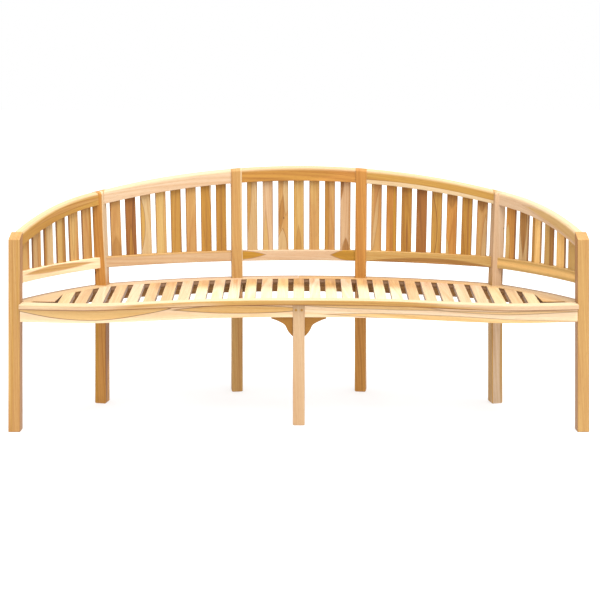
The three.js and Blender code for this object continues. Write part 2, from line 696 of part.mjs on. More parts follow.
panels.forEach(buildPanel);
panels.forEach(buildRearApron);
const aprons = [buildFrontApron('front_left_apron', -1), buildFrontApron('front_right_apron', 1)];
buildBearer('left_cross_bearer', -1, aprons[0]);
buildBearer('right_cross_bearer', 1, aprons[1]);
buildBracket('left_bracket', -1);
buildBracket('right_bracket', 1);
buildSeatBoards();
buildSeatSlats();
aprons.forEach(({ name, body }) => addPiece(name, body));
addPiece('front_centre_leg', centreLeg);
for (const [name, { body }] of [...posts, ...frontPosts]) addPiece(name, body);

// The origin is on the floor under the middle of the bench
const extent = new THREE.Box3().setFromObject(bench);
bench.position.y = -(extent.min.y + extent.max.y) / 2;

export default bench;
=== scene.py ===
"""Curved garden bench in solid teak: its boards, their eased edges and their grain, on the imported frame."""

import logging
import math
from dataclasses import dataclass
from enum import Enum
from functools import cached_property
from typing import Any, Callable, Iterator, Mapping, Sequence, Union

import bmesh
import bpy
import numpy as np
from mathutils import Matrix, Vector


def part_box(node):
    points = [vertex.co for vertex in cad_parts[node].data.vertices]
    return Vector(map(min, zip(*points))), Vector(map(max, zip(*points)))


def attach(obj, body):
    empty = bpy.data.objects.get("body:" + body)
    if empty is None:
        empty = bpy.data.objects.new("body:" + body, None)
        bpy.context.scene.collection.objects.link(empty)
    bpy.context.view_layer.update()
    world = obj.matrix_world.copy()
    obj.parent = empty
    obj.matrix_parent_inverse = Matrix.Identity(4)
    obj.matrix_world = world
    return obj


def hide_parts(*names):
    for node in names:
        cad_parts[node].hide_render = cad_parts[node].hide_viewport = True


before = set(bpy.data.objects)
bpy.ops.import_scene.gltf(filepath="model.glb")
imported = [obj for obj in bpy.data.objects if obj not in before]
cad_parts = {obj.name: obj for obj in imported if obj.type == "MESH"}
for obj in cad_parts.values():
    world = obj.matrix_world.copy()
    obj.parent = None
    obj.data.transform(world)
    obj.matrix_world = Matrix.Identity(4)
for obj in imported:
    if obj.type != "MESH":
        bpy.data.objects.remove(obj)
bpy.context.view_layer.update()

LOG = logging.getLogger("garden_bench")
SIDES = {"left": -1, "right": 1}
WHITE = (1.0, 1.0, 1.0, 1.0)
MM = 0.001

# Limits of the work on meshes.
CRISP_ANGLE = math.radians(38)  # Edges sharper than this stay crisp.
FLAT_ANGLE = math.radians(0.5)  # Faces of a solid that differ by less are joined.
WELD = 0.00001  # Corners closer than this, in metres, become one.
LEVEL_SLACK = 0.00005  # A level face lies this near its height, in metres.
LEVEL_LIFT = 0.999  # Least upright part of a level face's direction.
RIM_STEPS = 3
WIDE_ROUND = 4.0  # Roundings wider than this, in millimetres, get more steps.
WIDE_STEPS = 5
NARROW_STEPS = 3
SHARPEST = 0.5  # Least divisor where two sides meet, which keeps the mitre of a sharp corner short.

Paint = tuple[float, float, float, float]
Triple = tuple[float, float, float]
Spot = tuple[float, float]
Section = list[Spot]
Ring = list[tuple[Vector, Vector]]


def linear(code: str) -> Paint:
    """Turns a colour code into the linear colour that a shader takes.

    Args:
        code: six hexadecimal digits, red first.

    Returns:
        Red, green, blue and full alpha.
    """
    # The sRGB curve, from what a screen is told to how much light it gives.
    parts = [int(code[i : i + 2], 16) / 255 for i in (0, 2, 4)]
    red, green, blue = (p / 12.92 if p <= 0.04045 else ((p + 0.055) / 1.055) ** 2.4 for p in parts)
    return red, green, blue, 1.0


class Tone(Enum):
    """Teak as it comes from the saw: the pale and the deep colour of one board, and some colours that serve
    as painted highlight and painted shade.
    """

    # Painted highlight, laid on the front part of the seat slats.
    HIGHLIT = ("E3D4B2", "CFB98C")
    BLOND = ("F0D4B0", "DDB583")
    CREAM = ("CEB996", "C0A176")
    PINKISH = ("C8AE90", "B8926C")
    SALMON = ("BFA17C", "AC8056")
    STRAW = ("E2BA78", "CC9A50")
    WHEAT = ("BCA074", "A67D49")
    HONEY = ("BE9E62", "A97E3E")
    GOLD = ("B38A40", "976626")
    TAN = ("B99256", "9E6B37")
    AMBER = ("A97A2E", "87571B")
    BROWN = ("9B6A2A", "714417")
    RUSSET = ("8E5A24", "643614")
    COPPER = ("BC863E", "985F20")
    OLIVE = ("BA892C", "8A6010")
    SHADED = ("A2753F", "744C24")
    # Painted shade, laid in the recess under a rear seat board's top face.
    LEDGE_SHADE = ("704A24", "4C3014")

    @property
    def pale(self) -> Paint:
        """Linear colour of the early wood."""
        return linear(self.value[0])

    @property
    def deep(self) -> Paint:
        """Linear colour of the late wood."""
        return linear(self.value[1])


class Layer(Enum):
    """Noise in teak: its rates in a metre along, across and through, its shift and its finer layers."""

    WANDER = ((2.4, 16.0, 16.0), 0.0, 1.0)
    STREAKS = ((4.0, 240.0, 240.0), 3.0, 2.0)
    CLOUDS = ((1.6, 20.0, 20.0), 7.0, 1.0)
    FIBRES = ((45.0, 1500.0, 1500.0), 11.0, 1.0)


@dataclass(frozen=True)
class Grain:
    """What all teak has in common: lengths in metres, rates in a metre, and plain weights and shares."""

    noise_skew: Triple = (1.0, 0.7, 1.3)
    noise_roughness: float = 0.55
    ring_rate: float = 240.0
    ring_wander: float = 0.02
    flame_wander: float = 0.012
    knot_wander: float = 0.004
    late_wood: float = 0.42
    ring_weight: float = 1.1
    streak_weight: float = 1.0
    cloud_weight: float = 1.3
    fibre_weight: float = 0.35
    flame_rim: Spot = (0.0022, 0.0003)
    pore_limits: Spot = (0.6, 0.74)
    pore_share: float = 0.3
    knot_stretch: float = 1.7
    knot_core: float = 0.35
    knot_share: float = 0.85
    knot_colour: str = "4B2A10"
    end_share: float = 0.55
    streak_lift: float = 0.6
    pore_pit: float = 0.5
    ring_lift: float = 0.25
    relief_strength: float = 0.3
    relief_height: float = 0.0004
    roughness: float = 0.5
    roughness_swing: float = 0.12
    specular: float = 0.28
    sheen: float = 0.12
    sheen_roughness: float = 0.5


GRAIN = Grain()


class Reading:
    """Value at a socket of a finish, which takes part in sums as a number does."""

    def __init__(self, desk: "FinishDesk", socket: bpy.types.NodeSocket) -> None:
        """Keeps the desk that adds nodes and the socket that is read."""
        self.desk = desk
        self.socket = socket

    def _math(self, operation: str, first: "Term", second: "Term" = 0.0) -> "Reading":
        """Adds one Math node for an operation on one or two terms."""
        return self.desk.add("ShaderNodeMath", {"operation": operation}, {0: first, 1: second})

    def __add__(self, other: "Term") -> "Reading":
        """Sum with a number or another reading."""
        return self._math("ADD", self, other)

    def __radd__(self, other: "Term") -> "Reading":
        """Sum in which the number comes first."""
        return self._math("ADD", other, self)

    def __sub__(self, other: "Term") -> "Reading":
        """Difference from a number or another reading."""
        return self._math("SUBTRACT", self, other)

    def __rsub__(self, other: "Term") -> "Reading":
        """Difference in which the number comes first."""
        return self._math("SUBTRACT", other, self)

    def __mul__(self, other: "Term") -> "Reading":
        """Product with a number or another reading."""
        return self._math("MULTIPLY", self, other)

    def __rmul__(self, other: "Term") -> "Reading":
        """Product in which the number comes first."""
        return self._math("MULTIPLY", other, self)

    def __truediv__(self, other: "Term") -> "Reading":
        """Quotient by a number or another reading."""
        return self._math("DIVIDE", self, other)

    def __rtruediv__(self, other: "Term") -> "Reading":
        """Quotient in which the number comes first."""
        return self._math("DIVIDE", other, self)

    def __pow__(self, power: "Term") -> "Reading":
        """Power of the reading."""
        return self._math("POWER", self, power)

    def __abs__(self) -> "Reading":
        """Size of the reading without its sign."""
        return self._math("ABSOLUTE", self)

    def step(self, start: float, end: float) -> "Reading":
        """Smooth step from 0 to 1 while the reading goes from one value to another.

        Args:
            start: the value at which the step is 0.
            end: the value at which it is 1, which may be the lower of the two.

        Returns:
            The step, held between 0 and 1.
        """
        return self.desk.add(
            "ShaderNodeMapRange",
            {"interpolation_type": "SMOOTHSTEP"},
            {"Value": self, "From Min": start, "From Max": end},
        )


Term = Union[float, Reading]


class FinishDesk:
    """Builds the nodes of one material."""

    def __init__(self, name: str) -> None:
        """Starts a material with an empty node tree.

        Args:
            name: the material's name.
        """
        self.material = bpy.data.materials.new(name)
        self.material.use_nodes = True
        self.tree = self.material.node_tree
        self.tree.nodes.clear()

    def add(
        self,
        kind: str,
        settings: Mapping[str, Any],
        sockets: Mapping[Union[int, str], Any],
        output: Union[int, str] = 0,
    ) -> Reading:
        """Adds a node of any type.

        Args:
            kind: the node's type.
            settings: the node's own settings, set first.
            sockets: the value or link of each socket that isn't left as it is.
            output: the output that is read.

        Returns:
            The chosen output.
        """
        node = self.tree.nodes.new(kind)
        for setting, value in settings.items():
            setattr(node, setting, value)
        for socket, value in sockets.items():
            if isinstance(value, Reading):
                self.tree.links.new(value.socket, node.inputs[socket])
            else:
                node.inputs[socket].default_value = value
        return Reading(self, node.outputs[output])

    def split(self, vector: Reading) -> tuple[Reading, Reading, Reading]:
        """Takes a vector's socket apart into its three parts."""
        parts = self.add("ShaderNodeSeparateXYZ", {}, {0: vector}).socket.node.outputs
        return Reading(self, parts[0]), Reading(self, parts[1]), Reading(self, parts[2])

    def blend(self, share: Term, one: Any, other: Any) -> Reading:
        """Mixes two colours or their sockets, with the given share of the second one."""
        settings = {"data_type": "RGBA", "clamp_factor": True}
        return self.add("ShaderNodeMix", settings, {0: share, 6: one, 7: other}, 2)

    def wood(self, late: Reading, tone: Tone) -> Reading:
        """Colour of a tone with a share of late wood."""
        return self.blend(late, tone.pale, tone.deep)

    def speckle(self, place: Reading, layer: Layer, seed: float) -> Reading:
        """Noise drawn out along a board.

        Args:
            place: the place on the board, in metres.
            layer: the kind of noise.
            seed: what sets this board apart from the others.

        Returns:
            A value about 0.5.
        """
        rates, shift, detail = layer.value
        start = tuple((seed + shift) * share for share in GRAIN.noise_skew)
        terms = {0: place, 1: rates, 2: start}
        moved = self.add("ShaderNodeVectorMath", {"operation": "MULTIPLY_ADD"}, terms)
        sockets = {"Vector": moved, "Scale": 1.0, "Detail": detail, "Roughness": GRAIN.noise_roughness}
        return self.add("ShaderNodeTexNoise", {"noise_dimensions": "3D"}, sockets)

    def finish(self, **sockets: Any) -> bpy.types.Material:
        """Ends the material in one shader.

        Args:
            sockets: the values or links of the shader's sockets, with their spaces as underscores.

        Returns:
            The material.
        """
        named = {name.replace("_", " "): value for name, value in sockets.items()}
        shader = self.add("ShaderNodeBsdfPrincipled", {}, named)
        self.add_output(shader)
        return self.material

    def add_output(self, shader: Reading) -> None:
        """Links a shader to the material's surface."""
        target = self.tree.nodes.new("ShaderNodeOutputMaterial")
        self.tree.links.new(shader.socket, target.inputs["Surface"])


@dataclass(frozen=True)
class Flame:
    """Lens of other colour that the saw leaves where it skims a growth ring, in metres on the board; on some
    posts and seat slats, lenses are painted highlights and painted shade instead.
    """

    along: float
    across: float
    half_length: float
    half_width: float
    tone: Tone
    strength: float = 0.85
    rim: float = 0.35
    softness: float = 0.002
    slant: float = 0.0


class Way(Enum):
    """Direction on a board in which a place is measured."""

    ACROSS = 1
    THROUGH = 2


@dataclass(frozen=True)
class PaintedLightBand:
    """Edge, ledge or side face painted darker as painted shade, and on the top rails' crests paler as a
    painted highlight, which starts beyond a line along the board, in metres.
    """

    way: Way
    start: float
    end: float
    tone: Tone
    strength: float = 0.8
    both: bool = False


@dataclass(frozen=True)
class Knot:
    """Dark pin knot at a place on the board, in metres."""

    along: float
    across: float
    radius: float


@dataclass(frozen=True)
class Teak:
    """Sanded teak of one board, with its own tone, grain and figure, and with painted shade and painted
    highlights on some faces and edges.
    """

    tone: Tone
    seed: float
    contrast: float = 1.0
    pith_across: float = 0.02
    pith_through: float = 0.05
    drift_across: float = 0.03
    drift_through: float = 0.02
    flames: tuple[Flame, ...] = ()
    knots: tuple[Knot, ...] = ()
    painted_light_bands: tuple[PaintedLightBand, ...] = ()

    def dress(self, name: str) -> bpy.types.Material:
        """Builds the board's material.

        Args:
            name: the material's name.

        Returns:
            The material.
        """
        desk = FinishDesk(name)
        place = desk.add("ShaderNodeAttribute", {"attribute_name": "board"}, {}, "Vector")
        along, across, through = desk.split(place)
        wander = desk.speckle(place, Layer.WANDER, self.seed) - 0.5
        from_heart = across + self.pith_across + self.drift_across * along + GRAIN.ring_wander * wander
        deeper = through + self.pith_through + self.drift_through * along
        radius = (from_heart**2 + deeper**2) ** 0.5
        ring_place = {"W": GRAIN.ring_rate * radius + self.seed, "Scale": 1.0, "Detail": 1.0}
        rings = desk.add("ShaderNodeTexNoise", {"noise_dimensions": "1D"}, ring_place)
        streaks = desk.speckle(place, Layer.STREAKS, self.seed)
        clouds = desk.speckle(place, Layer.CLOUDS, self.seed)
        fibres = desk.speckle(place, Layer.FIBRES, self.seed)
        late = GRAIN.late_wood + self.contrast * (
            GRAIN.ring_weight * (rings - 0.5)
            + GRAIN.streak_weight * (streaks - 0.5)
            + GRAIN.cloud_weight * (clouds - 0.5)
            + GRAIN.fibre_weight * (fibres - 0.5)
        )
        colour = desk.wood(late, self.tone)
        for flame in self.flames:
            colour = self._lay_flame(desk, flame, colour, late, along, across + GRAIN.flame_wander * wander)
        # Painted shade and painted highlights on edges, ledges and side faces.
        for band in self.painted_light_bands:
            reach = across if band.way is Way.ACROSS else through
            share = (abs(reach) if band.both else reach).step(band.start, band.end)
            colour = desk.blend(band.strength * share, colour, desk.wood(late, band.tone))
        pores = fibres.step(*GRAIN.pore_limits)
        colour = desk.blend(GRAIN.pore_share * pores, colour, Tone.RUSSET.deep)
        for knot in self.knots:
            ahead = (along - knot.along) / GRAIN.knot_stretch
            apart = (ahead**2 + (across - knot.across) ** 2) ** 0.5 + GRAIN.knot_wander * wander
            dark = apart.step(knot.radius, GRAIN.knot_core * knot.radius)
            colour = desk.blend(GRAIN.knot_share * dark, colour, linear(GRAIN.knot_colour))
        ends = desk.add("ShaderNodeAttribute", {"attribute_name": "end_grain"}, {}, "Fac")
        height = GRAIN.streak_lift * streaks - GRAIN.pore_pit * pores + GRAIN.ring_lift * rings
        relief = {"Strength": GRAIN.relief_strength, "Distance": GRAIN.relief_height, "Height": height}
        return desk.finish(
            Base_Color=desk.blend(GRAIN.end_share * ends, colour, self.tone.deep),
            Roughness=GRAIN.roughness + GRAIN.roughness_swing * streaks + GRAIN.roughness_swing * pores,
            Normal=desk.add("ShaderNodeBump", {}, relief),
            Specular_IOR_Level=GRAIN.specular,
            Sheen_Weight=GRAIN.sheen,
            Sheen_Roughness=GRAIN.sheen_roughness,
        )

    def _lay_flame(
        self,
        desk: FinishDesk,
        flame: Flame,
        colour: Reading,
        late: Reading,
        along: Reading,
        across: Reading,
    ) -> Reading:
        """Lays one lens of other colour over the board.

        Args:
            desk: where the material's nodes are added.
            flame: the lens.
            colour: the board's colour so far.
            late: the share of late wood.
            along: the place along the board.
            across: the place across it, with the grain's wander.

        Returns:
            The board's colour with the lens.
        """
        ahead = along - flame.along
        bend = ahead / flame.half_length
        inside = flame.half_width * (1.0 - bend * bend) - abs(across - flame.across - flame.slant * ahead)
        laid = desk.blend(
            flame.strength * inside.step(0.0, flame.softness), colour, desk.wood(late, flame.tone)
        )
        return desk.blend(flame.rim * abs(inside).step(*GRAIN.flame_rim), laid, Tone.BROWN.deep)


@dataclass(frozen=True)
class Plan:
    """Sizes of the bench in millimetres, and the lines that they set out."""

    length: float = 2020.0
    seat: float = 447.0
    crest: float = 881.0
    arm: float = 691.0
    arm_fall: float = 20.0
    back_depth: float = 562.0
    back_radius: float = 1700.0
    inner_x: float = 244.016
    outer_x: float = 746.996
    side_bow: float = 20.0
    side_inset: float = 24.0
    arch_radius: float = 3660.0
    side_arch_bow: float = 17.0
    recline: float = math.radians(5.5)
    outer_lean_turn: float = math.radians(34.0)
    front_lean_turn: float = math.radians(56.0)
    front_lean_share: float = 0.2
    front_post: float = 41.0
    rear_post: float = 43.0
    centre_leg: float = 42.0
    rail_thickness: float = 34.0
    rail_depth: float = 50.0
    rail_round: float = 14.0
    rail_crest_share: float = 0.16
    low_rail_thickness: float = 30.0
    low_rail_depth: float = 40.0
    low_rail_foot: float = 510.994
    board_thickness: float = 18.0
    apron_height: float = 46.0
    apron_thickness: float = 26.0
    rear_apron_height: float = 40.0
    setback: float = 78.0
    bulge: float = 20.0
    leg_proud: float = 3.0
    slat_pitch: float = 58.4992
    slat_fan: float = 9000.0
    foot_chamfer: float = 3.0
    # Half of the front line: shares of the half length, of the setback and of the bulge.
    front_shape: tuple[Triple, ...] = (
        (0.0, 1.0, 0.0),
        (0.31, 0.78, 0.0),
        (0.6, 0.0, 0.0),
        (0.76, 0.0, 1.0),
        (1.0, 0.0, -0.2),
    )
    front_steps: int = 40

    @cached_property
    def front_plane(self) -> float:
        """Place of the front posts' front faces in the frame, in metres."""
        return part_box("front_left_post")[0].y

    @cached_property
    def line_radius(self) -> float:
        """Radius of the circle through the middles of the rear posts."""
        return self.back_radius - self.rear_post / 2

    @cached_property
    def inner_angle(self) -> float:
        """Angle of an inner rear post on that circle."""
        return math.asin(self.inner_x / self.line_radius)

    @cached_property
    def outer_angle(self) -> float:
        """Angle of an outer rear post on that circle."""
        return math.asin(self.outer_x / self.line_radius)

    @cached_property
    def inner_reach(self) -> float:
        """Distance along the back line from the centre to an inner post."""
        return self.inner_angle * self.line_radius

    @cached_property
    def outer_reach(self) -> float:
        """Distance along the back line from the centre to an outer post."""
        return self.outer_angle * self.line_radius

    @cached_property
    def side_arc(self) -> tuple[Vector, float, float, float]:
        """Finds the arc that a side of the back follows.

        Returns:
            Its centre, its radius, its first angle and its turn.
        """
        start = self.heading(self.outer_angle) * self.line_radius + self.back_centre
        end = Vector((self.length / 2 - self.side_inset, self.front_post))
        chord = (start - end).length
        radius = (chord**2 / 4 + self.side_bow**2) / (2 * self.side_bow)
        half_turn = math.asin(chord / 2 / radius)
        first = math.atan2(start.y - end.y, end.x - start.x) - half_turn
        return start - self.heading(first) * radius, radius, first, 2 * half_turn

    @cached_property
    def bend_angle(self) -> float:
        """Outward angle half-way between the two lines that meet at an outer post."""
        return (self.outer_angle + self.side_arc[2]) / 2

    @cached_property
    def front_reach(self) -> float:
        """Distance along the back line from the centre to a front post."""
        return self.outer_reach + self.side_arc[3] * self.side_arc[1]

    @property
    def back_centre(self) -> Vector:
        """Centre of the back's circle in plan."""
        return Vector((0.0, self.back_depth - self.back_radius))

    @property
    def apron_foot(self) -> float:
        """Height of the aprons' undersides."""
        return self.seat - self.board_thickness - self.apron_height

    @property
    def board_foot(self) -> float:
        """Height of the seat boards' undersides."""
        return self.seat - self.board_thickness

    @property
    def low_rail_top(self) -> float:
        """Height of the lower rails' upper faces."""
        return self.low_rail_foot + self.low_rail_depth

    @staticmethod
    def heading(angle: float) -> Vector:
        """Unit vector in plan, turned from straight back."""
        return Vector((math.sin(angle), math.cos(angle)))

    def place(self, plan: Vector, height: float) -> Vector:
        """Point of the frame, in metres, over a place in plan."""
        return Vector((plan.x * MM, plan.y * MM + self.front_plane, height * MM))

    def station(self, distance: float, on_side: Union[bool, None] = None) -> tuple[Vector, Vector]:
        """Finds a place on the back line.

        Args:
            distance: the distance from the centre, negative to the left.
            on_side: whether the side's arc is followed, or None to go by the distance.

        Returns:
            The place in plan and the outward direction there.
        """
        reach = abs(distance)
        hand = -1.0 if distance < 0 else 1.0
        if reach > self.outer_reach if on_side is None else on_side:
            centre, radius, first, _ = self.side_arc
            normal = self.heading(first + (reach - self.outer_reach) / radius)
        else:
            centre, radius = self.back_centre, self.line_radius
            normal = self.heading(reach / radius)
        point = normal * radius + centre
        return Vector((hand * point.x, point.y)), Vector((hand * normal.x, normal.y))

    def side_share(self, distance: float) -> float:
        """Share of the way from the outer post to the front post, from 0 to 1."""
        share = (abs(distance) - self.outer_reach) / (self.front_reach - self.outer_reach)
        return min(1.0, max(0.0, share))

    def lean(self, distance: float) -> Vector:
        """Finds how far the back leans for each millimetre above the seat.

        Args:
            distance: the distance from the centre along the back line.

        Returns:
            The lean in plan.
        """
        reach = abs(distance)
        share = self.side_share(distance)
        reaches = (0.0, self.inner_reach, self.outer_reach, self.front_reach)
        turns = (0.0, self.inner_angle, self.outer_lean_turn, self.front_lean_turn)
        turn = float(np.interp(reach, reaches, turns))
        amount = math.tan(self.recline) * (1.0 + share * (self.front_lean_share - 1.0))
        lean = self.heading(turn) * amount
        return Vector((-lean.x if distance < 0 else lean.x, lean.y))

    def leaned(self, plan: Vector, distance: float, height: float) -> Vector:
        """Point of the back, in metres, moved by the lean at its height."""
        return self.place(plan + self.lean(distance) * max(height - self.seat, 0.0), height)

    def top(self, distance: float) -> float:
        """Finds the height of the top rail's upper face.

        Args:
            distance: the distance from the centre along the back line.

        Returns:
            The height in millimetres.
        """
        reach = min(abs(distance), self.outer_reach)
        arc = self.crest - reach**2 / (2 * self.arch_radius)
        if abs(distance) <= self.outer_reach:
            return arc
        share = (abs(distance) - self.outer_reach) / (self.front_reach - self.outer_reach)
        return arc + (self.arm - arc) * share + 4 * self.side_arch_bow * share * (1 - share)

    def top_stretch(self, distance: float) -> float:
        """Finds the factor on the top rail's depth, which grows with its slope and towards the crest.

        Args:
            distance: the distance from the centre along the back line.

        Returns:
            The factor.
        """
        half = self.rail_thickness / 2
        slope = (self.top(distance + half) - self.top(distance - half)) / (2 * half)
        crest = max(0.0, 1.0 - (distance / self.outer_reach) ** 2)
        return math.hypot(1.0, slope) * (1.0 + self.rail_crest_share * crest)

    def top_foot(self, distance: float) -> float:
        """Height of the top rail's underside."""
        return self.top(distance) - self.rail_depth * self.top_stretch(distance)

    @cached_property
    def front_knots(self) -> np.ndarray:
        """Finds the places that the front line passes through.

        Returns:
            The places, from left to right.
        """
        end = (self.length - self.front_post) / 2
        right = [(x * end, back * self.setback - out * self.bulge) for x, back, out in self.front_shape]
        return np.array([(-x, y) for x, y in right[:0:-1]] + right)

    def front_curve(self, offset: float) -> tuple[np.ndarray, np.ndarray]:
        """Samples the front line, moved back by an offset.

        Args:
            offset: how far back the line lies from the apron's front face.

        Returns:
            The x and the y values of its places.
        """
        knots = self.front_knots
        padded = np.vstack([knots[:1], knots, knots[-1:]])
        places = []
        for before, start, end, after in zip(padded, padded[1:], padded[2:], padded[3:]):
            slope_in, slope_out = (end - before) / 2, (after - start) / 2
            for t in np.linspace(0.0, 1.0, self.front_steps, endpoint=False):
                cubic = (2 * start - 2 * end + slope_in + slope_out) * t**3
                square = (3 * end - 3 * start - 2 * slope_in - slope_out) * t**2
                places.append(cubic + square + slope_in * t + start)
        line = np.array([*places, knots[-1]])
        run = np.gradient(line, axis=0)
        run /= np.linalg.norm(run, axis=1, keepdims=True)
        return line[:, 0] - run[:, 1] * offset, line[:, 1] + run[:, 0] * offset

    def front_y(self, x: float, offset: float) -> float:
        """Place of the front line at an x, moved back by an offset."""
        return float(np.interp(x, *self.front_curve(offset)))


def eased_section(half: float, low: float, high: float, lower: float, upper: float) -> Section:
    """Draws the section of a rail with rounded edges.

    Args:
        half: half of its thickness.
        low: its lower edge.
        high: its upper edge.
        lower: the radius of the two lower edges.
        upper: the radius of the two upper edges.

    Returns:
        The corners in order, as the place across and the place up.
    """
    section = []
    quarters = [(1, -1, lower, -90), (1, 1, upper, 0), (-1, 1, upper, 90), (-1, -1, lower, 180)]
    for side, lift, radius, start in quarters:
        centre_up = (high if lift > 0 else low) - lift * radius
        steps = WIDE_STEPS if radius > WIDE_ROUND else NARROW_STEPS
        for step in range(steps + 1):
            angle = math.radians(start + 90 * step / steps)
            across = side * (half - radius) + radius * math.cos(angle)
            section.append((across, centre_up + radius * math.sin(angle)))
    return section


def fill_in(outline: Sequence[Spot], spacing: float) -> Section:
    """Adds corners along the long sides of an outline.

    Args:
        outline: the corners in order.
        spacing: the longest distance that stays between two corners.

    Returns:
        The corners, with those that were added.
    """
    filled = []
    for start, end in zip(outline, [*outline[1:], outline[0]]):
        pieces = max(1, math.ceil(math.dist(start, end) / spacing))
        for step in range(pieces):
            share = step / pieces
            filled.append(tuple(a + (b - a) * share for a, b in zip(start, end)))
    return filled


def inset(outline: Sequence[Spot], amount: float) -> Section:
    """Moves every side of an outline inwards.

    Args:
        outline: the corners, counterclockwise.
        amount: how far each side moves.

    Returns:
        The new corners.
    """
    spots = [Vector(spot) for spot in outline]
    moved = []
    for before, spot, after in zip(spots[-1:] + spots[:-1], spots, spots[1:] + spots[:1]):
        one, two = (spot - before).normalized(), (after - spot).normalized()
        inward = Vector((-one.y - two.y, one.x + two.x))
        reach = max(inward.length_squared / 2, SHARPEST)
        moved.append(tuple(spot + inward * (amount / reach)))
    return moved


def swing(start: Spot, control: Spot, end: Spot, steps: int) -> Section:
    """Bends a line between two places.

    Args:
        start: where it starts.
        control: the place that both of its ends point at.
        end: where it ends.
        steps: how many places are taken, with both ends.

    Returns:
        The places in order.
    """
    return [
        tuple((1 - t) ** 2 * a + 2 * t * (1 - t) * b + t * t * c for a, b, c in zip(start, control, end))
        for t in np.linspace(0.0, 1.0, steps)
    ]


def corner(spot: Vector, along: float, across: float, through: float) -> tuple[Vector, Vector]:
    """Corner of a ring, in metres, with its place on the board taken in millimetres."""
    return spot, Vector((along, across, through)) * MM


def shape_board(name: str, rings: Sequence[Ring]) -> bpy.types.Object:
    """Builds a board through a row of rings.

    Args:
        name: the piece's name.
        rings: the rings, each with its corners and their places on the board, all in metres.

    Returns:
        The board, closed at both ends.
    """
    count = len(rings[0])
    corners = [pair for ring in rings for pair in ring]
    last = (len(rings) - 1) * count
    faces = [
        (row + i, row + (i + 1) % count, row + count + (i + 1) % count, row + count + i)
        for row in range(0, last, count)
        for i in range(count)
    ]
    faces += [tuple(reversed(range(count))), tuple(range(last, last + count))]
    mesh = bpy.data.meshes.new(name)
    mesh.from_pydata([spot for spot, _ in corners], [], faces)
    turn_outwards(mesh)
    lay_grain(mesh, [grain for _, grain in corners])
    ends = mesh.attributes.new("end_grain", "FLOAT", "FACE")
    ends.data.foreach_set("value", [float(i >= len(faces) - 2) for i in range(len(faces))])
    return show(name, mesh)


def run_profile(
    name: str,
    outline: Sequence[Spot],
    run: Triple,
    place: Callable[[float, float, float], tuple[Vector, Vector]],
) -> bpy.types.Object:
    """Builds a board whose outline runs from one face to the other, with both rims rounded.

    Args:
        name: the piece's name.
        outline: the outline's corners.
        run: where the run starts, where it ends and the radius of the rims.
        place: finds a corner from its place on the run and its two places on the outline.

    Returns:
        The board.
    """
    start, end, ease = run
    hand = 1.0 if end > start else -1.0
    turns = [math.radians(degrees) for degrees in (0, 30, 60, 90)]
    arc = [(ease * (1 - math.sin(turn)), ease * (1 - math.cos(turn))) for turn in turns]
    spots = [(start + hand * ahead, drawn_in) for drawn_in, ahead in arc]
    spots += [(end - hand * ahead, drawn_in) for drawn_in, ahead in reversed(arc)]
    rings = [[place(at, *spot) for spot in inset(outline, drawn_in)] for at, drawn_in in spots]
    return shape_board(name, rings)


def turn_outwards(mesh: bpy.types.Mesh) -> None:
    """Turns all faces of a closed mesh outwards.

    Args:
        mesh: the mesh.
    """
    work = bmesh.new()
    work.from_mesh(mesh)
    bmesh.ops.recalc_face_normals(work, faces=work.faces)
    work.to_mesh(mesh)
    work.free()


def lay_grain(mesh: bpy.types.Mesh, places: Sequence[Vector]) -> None:
    """Writes where each corner of a mesh lies on its board: along, across and through."""
    grain = mesh.attributes.new("board", "FLOAT_VECTOR", "POINT")
    grain.data.foreach_set("vector", [part for place in places for part in place])


def put(name: str, data: bpy.types.ID) -> bpy.types.Object:
    """Puts an object into the scene.

    Args:
        name: its name.
        data: its mesh, light or camera.

    Returns:
        The object.
    """
    thing = bpy.data.objects.new(name, data)
    bpy.context.scene.collection.objects.link(thing)
    return thing


def show(name: str, mesh: bpy.types.Mesh) -> bpy.types.Object:
    """Puts a mesh into the scene with smooth rounds and crisp flats.

    Args:
        name: the piece's name.
        mesh: the piece's mesh.

    Returns:
        The piece.
    """
    mesh.shade_smooth()
    mesh.set_sharp_from_angle(angle=CRISP_ANGLE)
    piece = put(name, mesh)
    flats = piece.modifiers.new("flats", "WEIGHTED_NORMAL")
    flats.keep_sharp = True
    return piece


def fit(piece: bpy.types.Object, slot: str, finish: Teak, *nodes: str) -> bpy.types.Object:
    """Gives a piece its finish and its place in the frame.

    Args:
        piece: the piece.
        slot: the record's material slot, which is not used.
        finish: the wood of the board.
        nodes: the solids that the piece stands for.

    Returns:
        The piece.
    """
    piece.data.materials.append(finish.dress(f"{piece.name}_wood"))
    if nodes:
        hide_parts(*nodes)
    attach(piece, "root")
    return piece


def carve(
    name: str,
    node: str,
    grain: Callable[[Vector], Vector],
    ease: float,
    levels: Sequence[float],
) -> bpy.types.Object:
    """Copies a solid of the frame and eases the edges of its level faces.

    Args:
        name: the piece's name.
        node: the solid that is copied.
        grain: finds a corner's place on the board from its place in the frame.
        ease: the radius of the eased edges in metres.
        levels: the heights of the faces whose rims are eased, in metres, upper ones first.

    Returns:
        The piece.
    """
    work = bmesh.new()
    work.from_mesh(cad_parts[node].data)
    bmesh.ops.remove_doubles(work, verts=work.verts, dist=WELD)
    bmesh.ops.dissolve_limit(work, angle_limit=FLAT_ANGLE, verts=work.verts, edges=work.edges)
    work.normal_update()
    for level in levels:
        ease_rim(work, level, ease)
    bmesh.ops.triangulate(work, faces=[face for face in work.faces if len(face.verts) > 4])
    mesh = bpy.data.meshes.new(name)
    work.to_mesh(mesh)
    work.free()
    lay_grain(mesh, [grain(point.co) for point in mesh.vertices])
    return show(name, mesh)


